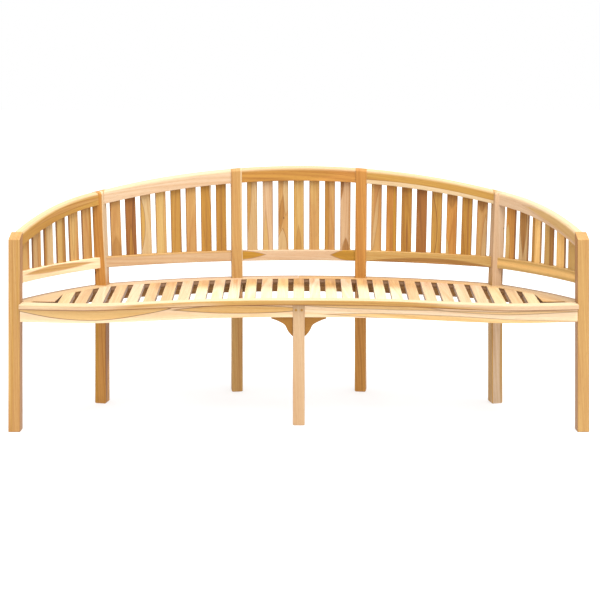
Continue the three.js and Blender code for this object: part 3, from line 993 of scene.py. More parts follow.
def ease_rim(work: bmesh.types.BMesh, level: float, ease: float) -> None:
    """Rounds the rim of a flat level face.

    Args:
        work: the mesh.
        level: the height of the face in metres.
        ease: the radius of the rounding.
    """
    region = [
        face
        for face in work.faces
        if abs(face.normal.z) > LEVEL_LIFT and abs(face.calc_center_median().z - level) < LEVEL_SLACK
    ]
    if not region:
        return
    down = -1.0 if region[0].normal.z > 0 else 1.0
    reached = 0.0
    for step in range(RIM_STEPS):
        drop = ease * (1 - math.sin(math.pi / 2 * step / RIM_STEPS))
        inwards = ease * (1 - math.cos(math.pi / 2 * (step + 1) / RIM_STEPS))
        border = bmesh.ops.inset_region(
            work, faces=region, thickness=inwards - reached, depth=0.0, use_even_offset=False
        )["faces"]
        reached = inwards
        inner = {point for face in region for point in face.verts}
        for point in {point for face in border for point in face.verts} - inner:
            point.co.z += down * drop


class Panel(Enum):
    """Bay of the back between two posts."""

    LEFT_SIDE = "left_side"
    LEFT_MIDDLE = "left_middle"
    CENTRE = "centre"
    RIGHT_MIDDLE = "right_middle"
    RIGHT_SIDE = "right_side"


@dataclass(frozen=True)
class PanelWood:
    """Boards chosen for one bay of the back, its slats from left to right."""

    top: Teak
    low: Teak
    slats: tuple[Teak, ...]


def slat(seed: float, tone: Tone, *flames: Flame, knots: tuple[Knot, ...] = ()) -> Teak:
    """Chooses the wood of one slat, whose grain wanders by its seed.

    Args:
        seed: what sets the slat apart from the others.
        tone: its tone.
        flames: the lenses on its face.
        knots: the knots on its face.

    Returns:
        The wood.
    """
    turn = int(seed)
    return Teak(
        tone,
        seed=5.3 * seed,
        pith_across=0.012 * ((turn * 2) % 5 - 2),
        pith_through=0.03 + 0.012 * (turn % 3),
        drift_across=0.05 * ((turn * 3) % 4 - 1.5),
        flames=flames,
        knots=knots,
        # The slat's side faces painted darker: painted shade between the slats.
        painted_light_bands=(PaintedLightBand(Way.ACROSS, 0.0172, 0.0203, Tone.RUSSET, 0.85, both=True),),
    )


def crest_rail(tone: Tone, seed: float, *flames: Flame) -> Teak:
    """Chooses the wood of a top rail with some lenses, whose crest is painted paler as a painted highlight.
    """
    return Teak(tone, seed, 0.8, flames=flames, painted_light_bands=(PaintedLightBand(Way.ACROSS, 0.008, 0.02, Tone.CREAM, 0.75),))


def ledge(tone: Tone, strength: float) -> PaintedLightBand:
    """Painted shade below the top face of a seat board, which paints its sides and the recess where the slats
    rest darker.
    """
    return PaintedLightBand(Way.THROUGH, -0.001, -0.003, tone, strength)


LEFT_SIDE_SLATS = (
    slat(1, Tone.TAN),
    slat(2, Tone.WHEAT, Flame(0.06, 0.012, 0.1, 0.01, Tone.TAN)),
    slat(3, Tone.WHEAT, Flame(0.1, -0.02, 0.2, 0.008, Tone.AMBER)),
    slat(4, Tone.HONEY, Flame(0.1, 0.014, 0.3, 0.01, Tone.BROWN, 0.8)),
    slat(5, Tone.TAN, Flame(0.12, -0.004, 0.1, 0.006, Tone.HONEY, 0.7)),
    slat(6, Tone.TAN, Flame(0.1, 0.016, 0.2, 0.006, Tone.AMBER)),
)

LEFT_MIDDLE_SLATS = (
    slat(11, Tone.TAN, Flame(0.0, 0.0, 0.09, 0.03, Tone.BROWN, 0.6, 0.1, 0.01)),
    slat(12, Tone.RUSSET, Flame(0.0, 0.001, 0.12, 0.01, Tone.AMBER, 0.6, 0.6)),
    slat(13, Tone.WHEAT, Flame(0.12, -0.024, 0.12, 0.022, Tone.GOLD, 0.9, 0.6)),
    slat(14, Tone.HONEY, Flame(0.13, 0.02, 0.3, 0.01, Tone.TAN)),
    slat(15, Tone.GOLD, Flame(0.13, 0.019, 0.4, 0.006, Tone.BROWN, 0.85, 0.1)),
    slat(16, Tone.TAN),
    slat(
        17,
        Tone.AMBER,
        Flame(0.27, 0.022, 0.12, 0.008, Tone.CREAM),
        Flame(0.1, 0.0, 0.1, 0.002, Tone.BROWN),
    ),
    slat(
        18,
        Tone.AMBER,
        Flame(0.13, 0.0, 0.2, 0.003, Tone.BROWN),
        Flame(0.12, 0.022, 0.4, 0.006, Tone.HONEY),
    ),
)

CENTRE_SLATS = (
    slat(21, Tone.WHEAT, Flame(0.28, -0.024, 0.26, 0.022, Tone.GOLD)),
    slat(
        22,
        Tone.SALMON,
        Flame(0.0, -0.008, 0.16, 0.01, Tone.HONEY),
        Flame(0.13, 0.021, 0.5, 0.005, Tone.BROWN, 0.85, 0.1),
    ),
    slat(
        23,
        Tone.TAN,
        Flame(0.27, 0.024, 0.13, 0.024, Tone.WHEAT, slant=0.1),
        Flame(0.0, -0.01, 0.09, 0.024, Tone.WHEAT, rim=0.6, slant=0.1),
        Flame(0.15, -0.006, 0.07, 0.01, Tone.BROWN, 0.8, 0.5, slant=0.08),
        knots=(Knot(0.13, 0.002, 0.004),),
    ),
    slat(
        24,
        Tone.HONEY,
        Flame(0.13, -0.014, 0.3, 0.008, Tone.GOLD, 0.7),
        Flame(0.0, 0.0, 0.1, 0.012, Tone.AMBER, 0.7),
    ),
    slat(25, Tone.TAN, Flame(0.3, 0.0, 0.16, 0.03, Tone.HONEY, 0.6, 0.1, 0.02)),
    slat(26, Tone.TAN, Flame(0.15, -0.014, 0.25, 0.012, Tone.AMBER)),
    slat(
        27,
        Tone.SALMON,
        Flame(0.28, -0.022, 0.09, 0.016, Tone.BROWN),
        Flame(0.0, 0.002, 0.055, 0.015, Tone.BROWN),
        Flame(0.13, 0.02, 0.3, 0.008, Tone.TAN, 0.7),
    ),
)

RIGHT_MIDDLE_SLATS = (
    slat(31, Tone.TAN, Flame(0.13, 0.0, 0.13, 0.008, Tone.WHEAT, slant=0.1)),
    slat(32, Tone.COPPER, Flame(0.1, 0.012, 0.3, 0.006, Tone.OLIVE)),
    slat(33, Tone.AMBER, Flame(0.06, 0.004, 0.08, 0.004, Tone.RUSSET)),
    slat(34, Tone.RUSSET),
    slat(35, Tone.GOLD, Flame(0.1, -0.016, 0.14, 0.02, Tone.AMBER, 0.4, 0.9)),
    slat(
        36,
        Tone.COPPER,
        Flame(0.25, 0.0, 0.08, 0.03, Tone.BROWN, 0.8, 0.1, 0.01),
        Flame(0.0, -0.022, 0.08, 0.016, Tone.HONEY),
    ),
    slat(37, Tone.AMBER, Flame(0.12, 0.008, 0.2, 0.003, Tone.RUSSET)),
    slat(
        38,
        Tone.TAN,
        Flame(0.02, 0.014, 0.14, 0.014, Tone.WHEAT),
        Flame(0.25, 0.0, 0.09, 0.03, Tone.BROWN, 0.8, 0.1, 0.01),
    ),
)

RIGHT_SIDE_SLATS = (
    slat(41, Tone.COPPER, Flame(0.02, -0.018, 0.12, 0.018, Tone.HONEY, slant=0.08)),
    slat(42, Tone.WHEAT, Flame(0.18, 0.0, 0.16, 0.015, Tone.BROWN, 0.9, 0.6)),
    slat(43, Tone.STRAW, Flame(0.1, -0.02, 0.3, 0.012, Tone.AMBER)),
    slat(44, Tone.HONEY, Flame(0.1, 0.016, 0.3, 0.014, Tone.BROWN)),
    slat(45, Tone.STRAW),
    slat(46, Tone.HONEY),
)

PANEL_WOOD = {
    Panel.LEFT_SIDE: PanelWood(
        top=crest_rail(Tone.GOLD, 1.0, Flame(0.26, 0.0, 0.2, 0.008, Tone.TAN, 0.7, 0.3)),
        low=Teak(Tone.BLOND, 2.0, 0.7, flames=(Flame(0.19, 0.006, 0.17, 0.011, Tone.GOLD),)),
        slats=LEFT_SIDE_SLATS,
    ),
    Panel.LEFT_MIDDLE: PanelWood(
        top=crest_rail(Tone.PINKISH, 3.0),
        low=Teak(Tone.SALMON, 4.0, 0.7, flames=(Flame(0.25, 0.02, 0.5, 0.008, Tone.GOLD, 0.7, 0.1, 0.006),)),
        slats=LEFT_MIDDLE_SLATS,
    ),
    Panel.CENTRE: PanelWood(
        top=crest_rail(Tone.COPPER, 5.0, Flame(0.1, 0.0, 0.3, 0.05, Tone.AMBER, 0.6, 0.0, 0.02)),
        low=Teak(
            Tone.PINKISH,
            6.0,
            0.7,
            flames=(
                Flame(0.0, 0.004, 0.092, 0.017, Tone.OLIVE, 1.0, 0.6),
                Flame(0.447, 0.001, 0.098, 0.024, Tone.OLIVE, 1.0, 0.6),
            ),
        ),
        slats=CENTRE_SLATS,
    ),
    Panel.RIGHT_MIDDLE: PanelWood(
        top=crest_rail(Tone.GOLD, 7.0, Flame(0.25, -0.02, 0.7, 0.011, Tone.CREAM, 0.85, 0.3, 0.003)),
        low=Teak(
            Tone.HONEY,
            8.0,
            0.9,
            flames=(
                Flame(0.25, -0.03, 0.3, 0.032, Tone.BROWN, 0.75, 0.4),
                Flame(0.25, -0.03, 0.2, 0.02, Tone.TAN, 0.6),
            ),
        ),
        slats=RIGHT_MIDDLE_SLATS,
    ),
    Panel.RIGHT_SIDE: PanelWood(
        top=crest_rail(Tone.PINKISH, 9.0, Flame(0.3, 0.0, 0.2, 0.02, Tone.HONEY, 0.8, 0.2, 0.006)),
        low=Teak(Tone.HONEY, 10.0, 0.7, flames=(Flame(0.2, 0.0, 0.6, 0.014, Tone.STRAW, 0.9, 0.1, 0.01),)),
        slats=RIGHT_SIDE_SLATS,
    ),
}

POST_WOOD = {
    "rear_left_outer_post": Teak(
        Tone.COPPER,
        31.0,
        0.8,
        flames=(
            # Painted highlight: one side face painted paler above the seat.
            Flame(0.65, 0.0215, 0.22, 0.004, Tone.CREAM, 0.85, 0.0),
            # Painted shade: the same side face painted darker below the seat.
            Flame(0.2, 0.0215, 0.24, 0.003, Tone.RUSSET, 0.8, 0.0),
            Flame(0.2, -0.014, 0.3, 0.008, Tone.OLIVE, 0.6, 0.1),
            # Painted shade: the opposite side face painted darker all along.
            Flame(0.5, -0.0215, 0.5, 0.005, Tone.BROWN, 0.7, 0.0),
        ),
        knots=(Knot(0.495, -0.0185, 0.006), Knot(0.507, -0.019, 0.004)),
    ),
    "rear_left_inner_post": Teak(
        # Painted highlight: one side face painted paler all along.
        Tone.TAN, 32.0, 0.8, flames=(Flame(0.65, 0.021, 0.9, 0.005, Tone.CREAM, 0.8, 0.1),)
    ),
    "rear_right_inner_post": Teak(
        # Painted shade: one side face painted darker all along, in olive.
        Tone.COPPER, 33.0, 1.0, flames=(Flame(0.3, -0.021, 0.6, 0.004, Tone.OLIVE, 0.8, 0.0),)
    ),
    "rear_right_outer_post": Teak(
        Tone.PINKISH,
        34.0,
        0.9,
        flames=(
            # Painted shade: one side face painted darker all along, in olive.
            Flame(0.4, -0.0215, 1.5, 0.003, Tone.OLIVE, 0.9, 0.0),
            Flame(0.2, 0.016, 0.24, 0.007, Tone.GOLD, 0.8, 0.1),
            Flame(0.475, 0.0215, 0.04, 0.0045, Tone.RUSSET, 0.95, 0.4),
            Flame(0.7, 0.0215, 0.2, 0.003, Tone.GOLD, 0.8, 0.0),
        ),
        knots=(Knot(0.49, 0.0205, 0.004), Knot(0.465, 0.021, 0.004), Knot(0.66, 0.018, 0.004)),
    ),
    "front_left_post": Teak(
        Tone.TAN,
        35.0,
        0.8,
        flames=(
            Flame(0.2, -0.006, 0.6, 0.006, Tone.AMBER, 0.6, 0.1, 0.004),
            Flame(0.55, 0.012, 0.3, 0.005, Tone.GOLD, 0.7, 0.1, 0.004),
        ),
        # Painted shade: the inner side face painted darker.
        painted_light_bands=(PaintedLightBand(Way.ACROSS, 0.0185, 0.02, Tone.BROWN, 0.7),),
    ),
    "front_right_post": Teak(
        # Painted shade: the inner side face painted darker.
        Tone.TAN, 36.0, 0.8, painted_light_bands=(PaintedLightBand(Way.ACROSS, -0.0185, -0.02, Tone.BROWN, 0.7),)
    ),
    "front_centre_leg": Teak(Tone.SALMON, 37.0, 0.6),
}

APRON_WOOD = {
    "left": Teak(
        Tone.BLOND,
        41.0,
        0.9,
        flames=(
            Flame(-0.72, 0.017, 0.27, 0.029, Tone.STRAW, 0.9, 0.8),
            Flame(-0.2, 0.008, 0.24, 0.014, Tone.STRAW, 0.9, 0.8, slant=-0.015),
        ),
    ),
    "right": Teak(
        Tone.BLOND,
        42.0,
        1.1,
        flames=(
            Flame(0.2, 0.024, 0.3, 0.014, Tone.STRAW, 0.8, 0.6, slant=-0.03),
            Flame(0.55, -0.018, 0.45, 0.012, Tone.STRAW, 0.8, 0.6, slant=-0.01),
            Flame(0.75, 0.012, 0.25, 0.005, Tone.STRAW, 0.7, 0.6),
        ),
    ),
}

NOSING_WOOD = Teak(
    Tone.CREAM,
    61.0,
    0.8,
    flames=(
        Flame(0.0, -0.0205, 9.0, 0.0035, Tone.PINKISH, 0.9, 0.0, 0.002),
        Flame(0.0, -0.0205, 0.8, 0.0045, Tone.GOLD, 0.9, 0.0, 0.003),
    ),
    # Painted shade under the nose: the board's lower edge painted darker.
    painted_light_bands=(PaintedLightBand(Way.THROUGH, -0.014, -0.016, Tone.RUSSET, 0.9),),
)


@dataclass(frozen=True)
class Back:
    """Arched top rails, lower rails and upright slats of the back."""

    plan: Plan
    slat_width: float = 41.0
    slat_thickness: float = 9.0
    slat_ease: float = 1.3
    edge_ease: float = 2.2
    into_rear_post: float = 12.0
    into_front_post: float = 4.0
    housing: float = 5.0
    steps: int = 24
    slat_rings: int = 7

    def build(self) -> Iterator[bpy.types.Object]:
        """Builds every bay of the back.

        Returns:
            The pieces one by one.
        """
        plan = self.plan
        stations = [-plan.front_reach, -plan.outer_reach, -plan.inner_reach]
        stations += [-station for station in reversed(stations)]
        for panel, start, end in zip(Panel, stations, stations[1:]):
            yield from self._bay(panel, start, end)

    def _margin(self, station: float) -> float:
        """Distance from a station to the face of the post that stands on it."""
        return 0.0 if abs(station) >= self.plan.front_reach else self.plan.rear_post / 2

    def _overrun(self, station: float) -> float:
        """Length that a rail runs into the post at a station."""
        return self.into_front_post if abs(station) >= self.plan.front_reach else self.into_rear_post

    def _bay(self, panel: Panel, start: float, end: float) -> Iterator[bpy.types.Object]:
        """Builds the rails and slats between two posts.

        Args:
            panel: the bay.
            start: the station of its left post.
            end: the station of its right post.

        Returns:
            The pieces one by one.
        """
        plan, wood = self.plan, PANEL_WOOD[panel]
        clear_start, clear_end = start + self._margin(start), end - self._margin(end)
        run = (clear_start - self._overrun(start), clear_start, clear_end + self._overrun(end))
        ease = self.edge_ease
        rail = eased_section(plan.rail_thickness / 2, 0.0, plan.rail_depth, ease, plan.rail_round)
        low = eased_section(plan.low_rail_thickness / 2, 0.0, plan.low_rail_depth, ease, ease)
        top = self._rail(f"top_board_{panel.value}", run, rail, plan.top_foot, plan.top_stretch)
        yield fit(top, "teak_rails", wood.top, f"top_rail_{panel.value}")
        comb = f"lower_rail_with_slats_{panel.value}"
        foot = self._rail(f"low_board_{panel.value}", run, low, lambda _: plan.low_rail_foot, lambda _: 1.0)
        yield fit(foot, "teak_rails", wood.low, comb)
        count = len(wood.slats)
        gap = (clear_end - clear_start - count * self.slat_width) / (count + 1)
        for i, finish in enumerate(wood.slats):
            distance = clear_start + gap * (i + 1) + self.slat_width * (i + 0.5)
            upright = self._slat(f"back_slat_{panel.value}_{i + 1}", distance)
            yield fit(upright, "teak_back_slats", finish, comb)

    def _rail(
        self,
        name: str,
        run: Triple,
        section: Section,
        foot: Callable[[float], float],
        stretch: Callable[[float], float],
    ) -> bpy.types.Object:
        """Builds a rail that follows the back line and runs a little into both posts.

        Args:
            name: the piece's name.
            run: where it starts in the left post, where that post's face is, and where it ends.
            section: its section.
            foot: the height of its underside at a distance.
            stretch: the factor on its depth there.

        Returns:
            The rail.
        """
        plan = self.plan
        first, face, last = run
        on_side = abs(first + last) > 2 * plan.outer_reach
        middle = max(up for _, up in section) / 2
        rings = []
        for distance in np.linspace(first, last, self.steps + 1):
            point, normal = plan.station(distance, on_side)
            rings.append([
                corner(
                    plan.leaned(point + normal * across, distance, foot(distance) + up * stretch(distance)),
                    distance - face,
                    up - middle,
                    across,
                )
                for across, up in section
            ])
        return shape_board(name, rings)

    def _slat(self, name: str, distance: float) -> bpy.types.Object:
        """Builds an upright slat that is housed in both rails.

        Args:
            name: the piece's name.
            distance: where it stands on the back line.

        Returns:
            The slat.
        """
        plan = self.plan
        point, normal = plan.station(distance)
        along = Vector((normal.y, -normal.x))
        deep, ease = self.slat_thickness / 2, self.slat_ease
        section = eased_section(self.slat_width / 2, -deep, deep, ease, ease)
        foot = plan.low_rail_top - self.housing
        rings = []
        for share in np.linspace(0.0, 1.0, self.slat_rings):
            ring = []
            for side, through in section:
                head = plan.top_foot(distance + side) + self.housing
                height = foot + (head - foot) * share
                spot = plan.leaned(point + along * side + normal * through, distance, height)
                ring.append(corner(spot, height - foot, side, through))
            rings.append(ring)
        return shape_board(name, rings)


@dataclass(frozen=True)
class Legs:
    """Rear posts, front posts and the centre leg."""

    plan: Plan
    edge_ease: float = 2.5
    top_round: float = 8.0
    crown_flat: float = 3.0
    crown_proud: float = 0.4
    corner_spacing: float = 4.0
    lower_rings: tuple[float, ...] = (150.0, 300.0)
    upper_rings: tuple[float, ...] = (560.0, 680.0)
    crown_rings: int = 7
    arm_rings: int = 6
    leg_ring: float = 200.0

    def build(self) -> Iterator[bpy.types.Object]:
        """Builds the four rear posts, the two front posts and the centre leg.

        Returns:
            The pieces one by one.
        """
        plan = self.plan
        stations = (-plan.outer_reach, -plan.inner_reach, plan.inner_reach, plan.outer_reach)
        sides = ("left_outer", "left_inner", "right_inner", "right_outer")
        for side, station in zip(sides, stations):
            yield self._fit_post(f"rear_{side}_post", self._rear_post, station)
        for side, hand in SIDES.items():
            yield self._fit_post(f"front_{side}_post", self._front_post, hand)
        yield self._fit_post("front_centre_leg", self._centre_leg)

    @staticmethod
    def _fit_post(node: str, build: Callable[..., bpy.types.Object], *place: float) -> bpy.types.Object:
        """Builds the timber that stands for a solid, at its place if it needs one, and fits it."""
        return fit(build(f"{node}_timber", *place), "teak_posts", POST_WOOD[node], node)

    def _rear_post(self, name: str, distance: float) -> bpy.types.Object:
        """Builds a rear post: upright to the seat, then leaning, with its top crowned as the rail's.

        Args:
            name: the piece's name.
            distance: where it stands on the back line.

        Returns:
            The post.
        """
        plan = self.plan
        point, _ = plan.station(distance, False)
        hand = -1.0 if distance < 0 else 1.0
        outer = abs(distance) > plan.inner_reach + 1
        line = plan.heading(hand * (plan.bend_angle if outer else plan.inner_angle))
        back = plan.heading(hand * (plan.bend_angle - math.pi / 4)) if outer else line
        along = Vector((back.y, -back.x))
        half, ease = plan.rear_post / 2, self.edge_ease
        outline = fill_in(eased_section(half, -half, half, ease, ease), self.corner_spacing)
        widest = max((along * side + back * deep).dot(line) for side, deep in outline)

        def ring(shrink: float, limit: float, height: Callable[[float], float]) -> Ring:
            """Makes a ring of the post.

            Args:
                shrink: how far its sides are drawn in.
                limit: how far it may reach to the front and the back.
                height: finds a corner's height from how far along the back line it lies.

            Returns:
                The ring.
            """
            corners = []
            for side, deep in outline:
                offset = (along * side + back * deep) * (1 - shrink / half)
                across = offset.dot(line)
                offset += line * (max(-limit, min(limit, across)) - across)
                level = height(offset.x * line.y - offset.y * line.x)
                spot = plan.leaned(point + offset, distance, level)
                corners.append(corner(spot, level, side, deep))
            return corners

        rings = [ring(plan.foot_chamfer, half * 2, lambda _: 0.0)]
        levels = (plan.foot_chamfer, *self.lower_rings, plan.seat, *self.upper_rings)
        rings += [ring(0.0, half * 2, lambda _, z=z: z) for z in levels]
        for degrees in np.linspace(0.0, 90.0, self.crown_rings):
            out, up = math.cos(math.radians(degrees)), math.sin(math.radians(degrees))
            limit = self.crown_flat + (widest - self.crown_flat) * out
            drop = plan.rail_round * (1 - up) - self.crown_proud
            rings.append(ring(0.0, limit, lambda ahead, drop=drop: plan.top(distance + ahead) - drop))
        return shape_board(name, rings)

    def _front_post(self, name: str, hand: int) -> bpy.types.Object:
        """Builds a front post, whose top falls on from the rail to a rounded front edge.

        Args:
            name: the piece's name.
            hand: -1 for the left post and 1 for the right one.

        Returns:
            The post.
        """
        plan = self.plan
        width, foot = plan.front_post, plan.foot_chamfer
        low = plan.arm - plan.arm_fall
        crest = low + plan.arm_fall * self.top_round / width
        profile = [(foot, 0.0), (width - foot, 0.0), (width, foot), (width, plan.arm)]
        front_edge = (0.0, low - self.top_round / 2)
        profile += swing((self.top_round, crest), (0.0, low), front_edge, self.arm_rings)
        profile.append((0.0, foot))
        outer = hand * plan.length / 2
        inner = outer - hand * width
        middle = (inner + outer) / 2
        return run_profile(
            name,
            profile,
            (inner, outer, self.edge_ease),
            lambda x, y, z: corner(plan.place(Vector((x, y)), z), z, x - middle, y - width / 2),
        )

    def _centre_leg(self, name: str) -> bpy.types.Object:
        """Builds the centre leg under the front board.

        Args:
            name: the piece's name.

        Returns:
            The leg.
        """
        plan = self.plan
        half = plan.centre_leg / 2
        middle = plan.setback - plan.leg_proud + half
        outline = eased_section(half, -half, half, self.edge_ease, self.edge_ease)
        rings, chamfer = [], plan.foot_chamfer
        levels = ((0.0, chamfer), (chamfer, 0.0), (self.leg_ring, 0.0), (plan.board_foot, 0.0))
        for height, shrink in levels:
            factor = 1 - shrink / half
            rings.append([
                corner(
                    plan.place(Vector((x * factor, middle + y * factor)), height),
                    height,
                    x * factor,
                    y * factor,
                )
                for x, y in outline
            ])
        return shape_board(name, rings)


@dataclass(frozen=True)
class Underframe:
    """Front aprons, brackets, rear aprons and cross bearers."""

    plan: Plan
    edge_ease: float = 2.0
    bracket_width: float = 77.0
    bracket_height: float = 69.0
    bracket_thickness: float = 20.0
    apron_step: float = 24.0
    apron_tenon: float = 6.0
    # Curves of a bracket's scroll from its foot to its tip, in shares of its width and height.
    scroll: tuple[tuple[Spot, Spot, Spot], ...] = (
        ((0.0, 1.0), (0.24, 0.77), (0.31, 0.52)),
        ((0.31, 0.52), (0.37, 0.38), (0.5, 0.31)),
        ((0.5, 0.31), (0.72, 0.17), (1.0, 0.08)),
    )
    scroll_steps: int = 8

    def build(self) -> Iterator[bpy.types.Object]:
        """Builds the pieces under the seat.

        Returns:
            The pieces one by one.
        """
        plan = self.plan
        for side, hand in SIDES.items():
            node = f"front_{side}_apron"
            yield fit(self._apron(f"{node}_board", hand), "teak_rails", APRON_WOOD[side], node)
        for side, hand in SIDES.items():
            scroll = self._bracket(f"{side}_bracket_scroll", hand)
            yield fit(scroll, "teak_frame", Teak(Tone.AMBER, 43.5 + hand / 2, 0.7), f"{side}_bracket")
        aprons = [f"rear_apron_{panel.value}" for panel in Panel]
        bearers = [f"{side}_cross_bearer" for side in SIDES]
        yield from self._hidden(aprons, 50.0, plan.rear_apron_height, BackRuler(plan).measure)
        yield from self._hidden(bearers, 58.0, plan.apron_height, lambda spot: spot.yzx)

    def _hidden(
        self, nodes: Sequence[str], seed: float, depth: float, grain: Callable[[Vector], Vector]
    ) -> Iterator[bpy.types.Object]:
        """Builds shaded boards that lie right under the seat.

        Args:
            nodes: their solids.
            seed: what sets the first one apart from the other boards.
            depth: how far they reach down.
            grain: finds a corner's place on its board.

        Returns:
            The boards one by one.
        """
        levels = [(self.plan.board_foot - down) * MM for down in (0.0, depth)]
        for i, node in enumerate(nodes):
            board = carve(f"{node}_board", node, grain, self.edge_ease * MM, levels)
            yield fit(board, "teak_frame", Teak(Tone.SHADED, seed + i), node)

    def _apron(self, name: str, hand: int) -> bpy.types.Object:
        """Builds one half of the bowed front apron.

        Args:
            name: the piece's name.
            hand: -1 for the left half and 1 for the right one.

        Returns:
            The apron.
        """
        plan = self.plan
        near = plan.centre_leg / 2 - self.apron_tenon
        far = plan.length / 2 - plan.front_post + self.apron_tenon
        high, ease = plan.apron_height / 2, self.edge_ease
        section = eased_section(plan.apron_thickness / 2, -high, high, ease, ease)
        middle = (plan.apron_foot + plan.board_foot) / 2
        curves = {across: plan.front_curve(plan.apron_thickness / 2 + across) for across, _ in section}
        rings = []
        for x in np.linspace(hand * near, hand * far, int((far - near) / self.apron_step)):
            rings.append([
                corner(
                    plan.place(Vector((x, float(np.interp(x, *curves[across])))), middle + up), x, up, across
                )
                for across, up in section
            ])
        return shape_board(name, rings)

    def _bracket(self, name: str, hand: int) -> bpy.types.Object:
        """Builds a scrolled bracket in the corner between the centre leg and the apron.

        Args:
            name: the piece's name.
            hand: -1 for the left bracket and 1 for the right one.

        Returns:
            The bracket.
        """
        plan = self.plan
        shares = [(0.0, 0.0)]
        for curve in self.scroll:
            shares += swing(*curve, self.scroll_steps)[:-1]
        shares += [self.scroll[-1][-1], (1.0, 0.0)]
        outline = [
            (plan.centre_leg / 2 + across * self.bracket_width, plan.apron_foot - down * self.bracket_height)
            for across, down in shares
        ]
        middle = plan.setback + plan.apron_thickness / 2
        half = self.bracket_thickness / 2
        return run_profile(
            name,
            outline,
            (middle - half, middle + half, self.edge_ease),
            lambda y, x, z: corner(plan.place(Vector((hand * x, y)), z), x, z - plan.apron_foot, y - middle),
        )


class BackRuler:
    """Measures places against the back line."""

    STATIONS = 401

    def __init__(self, plan: Plan) -> None:
        """Marks stations along the back line.

        Args:
            plan: the plan with the line.
        """
        self.plan = plan
        self.distances = np.linspace(-plan.front_reach, plan.front_reach, self.STATIONS)
        self.marks = [plan.station(distance) for distance in self.distances]
        self.spots = np.array([tuple(point) for point, _ in self.marks])

    def measure(self, spot: Vector) -> Vector:
        """Finds a place on a board that follows the back line.

        Args:
            spot: a point of the frame, in metres.

        Returns:
            The place along, across and through the board, in metres.
        """
        plan_spot = np.array((spot.x / MM, (spot.y - self.plan.front_plane) / MM))
        nearest = int(np.argmin(np.linalg.norm(self.spots - plan_spot, axis=1)))
        across = float((plan_spot - self.spots[nearest]) @ np.array(self.marks[nearest][1]))
        return Vector((self.distances[nearest] * MM, across * MM, spot.z - self.plan.seat * MM))


@dataclass(frozen=True)
class Seat:
    """Front board, rear boards and seat slats."""

    plan: Plan
    slats_each_side: int = 14
    # Slats on each side of the middle one whose painted highlight is the stronger.
    highlit_each_side: int = 6
    edge_ease: float = 2.0
    slat_contrast: float = 1.15
    rear_tones: tuple[Tone, ...] = (Tone.SALMON, Tone.TAN)
    slat_tones: tuple[Tone, ...] = (
        Tone.HONEY, Tone.SALMON, Tone.TAN, Tone.AMBER, Tone.SALMON, Tone.TAN, Tone.PINKISH
    )

    def build(self) -> Iterator[bpy.types.Object]:
        """Builds the boards and slats of the seat.

        Returns:
            The pieces one by one.
        """
        plan, ease = self.plan, self.edge_ease * MM
        levels = (plan.seat * MM, plan.board_foot * MM)
        front = carve("front_seat_board_nosing", "front_seat_board", self._along_front, ease, levels)
        yield fit(front, "teak_seat_boards", NOSING_WOOD, "front_seat_board")
        ruler = BackRuler(plan)
        for i, (side, hand) in enumerate(SIDES.items()):
            node = f"rear_{side}_seat_board"
            board = carve(f"{node}_plank", node, ruler.measure, ease, levels)
            wood = Teak(
                self.rear_tones[i],
                62.0 + i,
                0.8,
                flames=(Flame(hand * 1.05, -0.02, 0.45, 0.08, Tone.WHEAT, 0.9, 0.0, 0.05),),
                # Painted shade: the recess under the top face painted dark, and the rear edge under the back
                # painted darker.
                painted_light_bands=(ledge(Tone.LEDGE_SHADE, 0.97), PaintedLightBand(Way.ACROSS, -0.004, 0.018, Tone.RUSSET, 0.8)),
            )
            yield fit(board, "teak_seat_boards", wood, node)
        for i in range(2 * self.slats_each_side + 1):
            node = f"seat_slat_{i + 1:02d}"
            grain = self._along_slat(i - self.slats_each_side)
            board = carve(f"{node}_board", node, grain, ease, levels[:1])
            yield fit(board, "teak_seat_slats", self._slat_wood(i), node)

    def _slat_wood(self, i: int) -> Teak:
        """Chooses the wood of a seat slat, with a painted highlight that makes it paler towards the front of
        the seat.

        Args:
            i: the slat's number from the left, from 0.

        Returns:
            The wood.
        """
        strongly_highlit = abs(i - self.slats_each_side) <= self.highlit_each_side
        pale, strength = (Tone.HIGHLIT, 0.8) if strongly_highlit else (Tone.CREAM, 0.5)
        # Painted highlight: the front part of the slat painted paler, stronger on the middle slats.
        painted_highlight = Flame(0.08, 0.0, 0.28 + 0.015 * ((5 * i) % 4), 1.0, pale, strength, 0.0, 0.9)
        # A darker tan lens near the rear end of every slat.
        rear_lens = Flame(0.45, 0.008 * (i % 3 - 1), 0.09, 0.016, Tone.TAN, 0.7, 0.1, 0.012)
        return Teak(
            self.slat_tones[(3 * i + i // 4) % len(self.slat_tones)],
            seed=300.0 + 4.1 * i,
            contrast=self.slat_contrast,
            pith_across=0.01 * ((2 * i) % 7 - 3),
            drift_across=0.04 * (i % 3 - 1),
            flames=(rear_lens, painted_highlight),
            knots=(Knot(0.3 + 0.02 * (i % 5), 0.012 - 0.008 * (i % 4), 0.0022),),
            # Painted shade on the slat's sides below its top face.
            painted_light_bands=(ledge(Tone.RUSSET, 0.7),),
        )

    def _along_front(self, spot: Vector) -> Vector:
        """Finds a place on the board that follows the front line.

        Args:
            spot: a point of the frame, in metres.

        Returns:
            The place along, across and through the board, in metres.
        """
        plan = self.plan
        line = plan.front_y(spot.x / MM, 0.0) * MM + plan.front_plane
        return Vector((spot.x, spot.y - line, spot.z - plan.seat * MM))

    def _along_slat(self, number: int) -> Callable[[Vector], Vector]:
        """Finds how places lie on one seat slat.

        Args:
            number: the slat's number from the centre one, negative to the left.

        Returns:
            What turns a point of the frame into the place along, across and through the slat.
        """
        plan = self.plan
        x = number * plan.slat_pitch
        run = Vector((x, plan.slat_fan)).normalized()
        side = Vector((run.y, -run.x))
        origin = Vector((x * MM, plan.front_plane))

        def measure(spot: Vector) -> Vector:
            """Place on the slat."""
            apart = spot.xy - origin
            return Vector((apart.dot(run), apart.dot(side), spot.z - plan.seat * MM))

        return measure


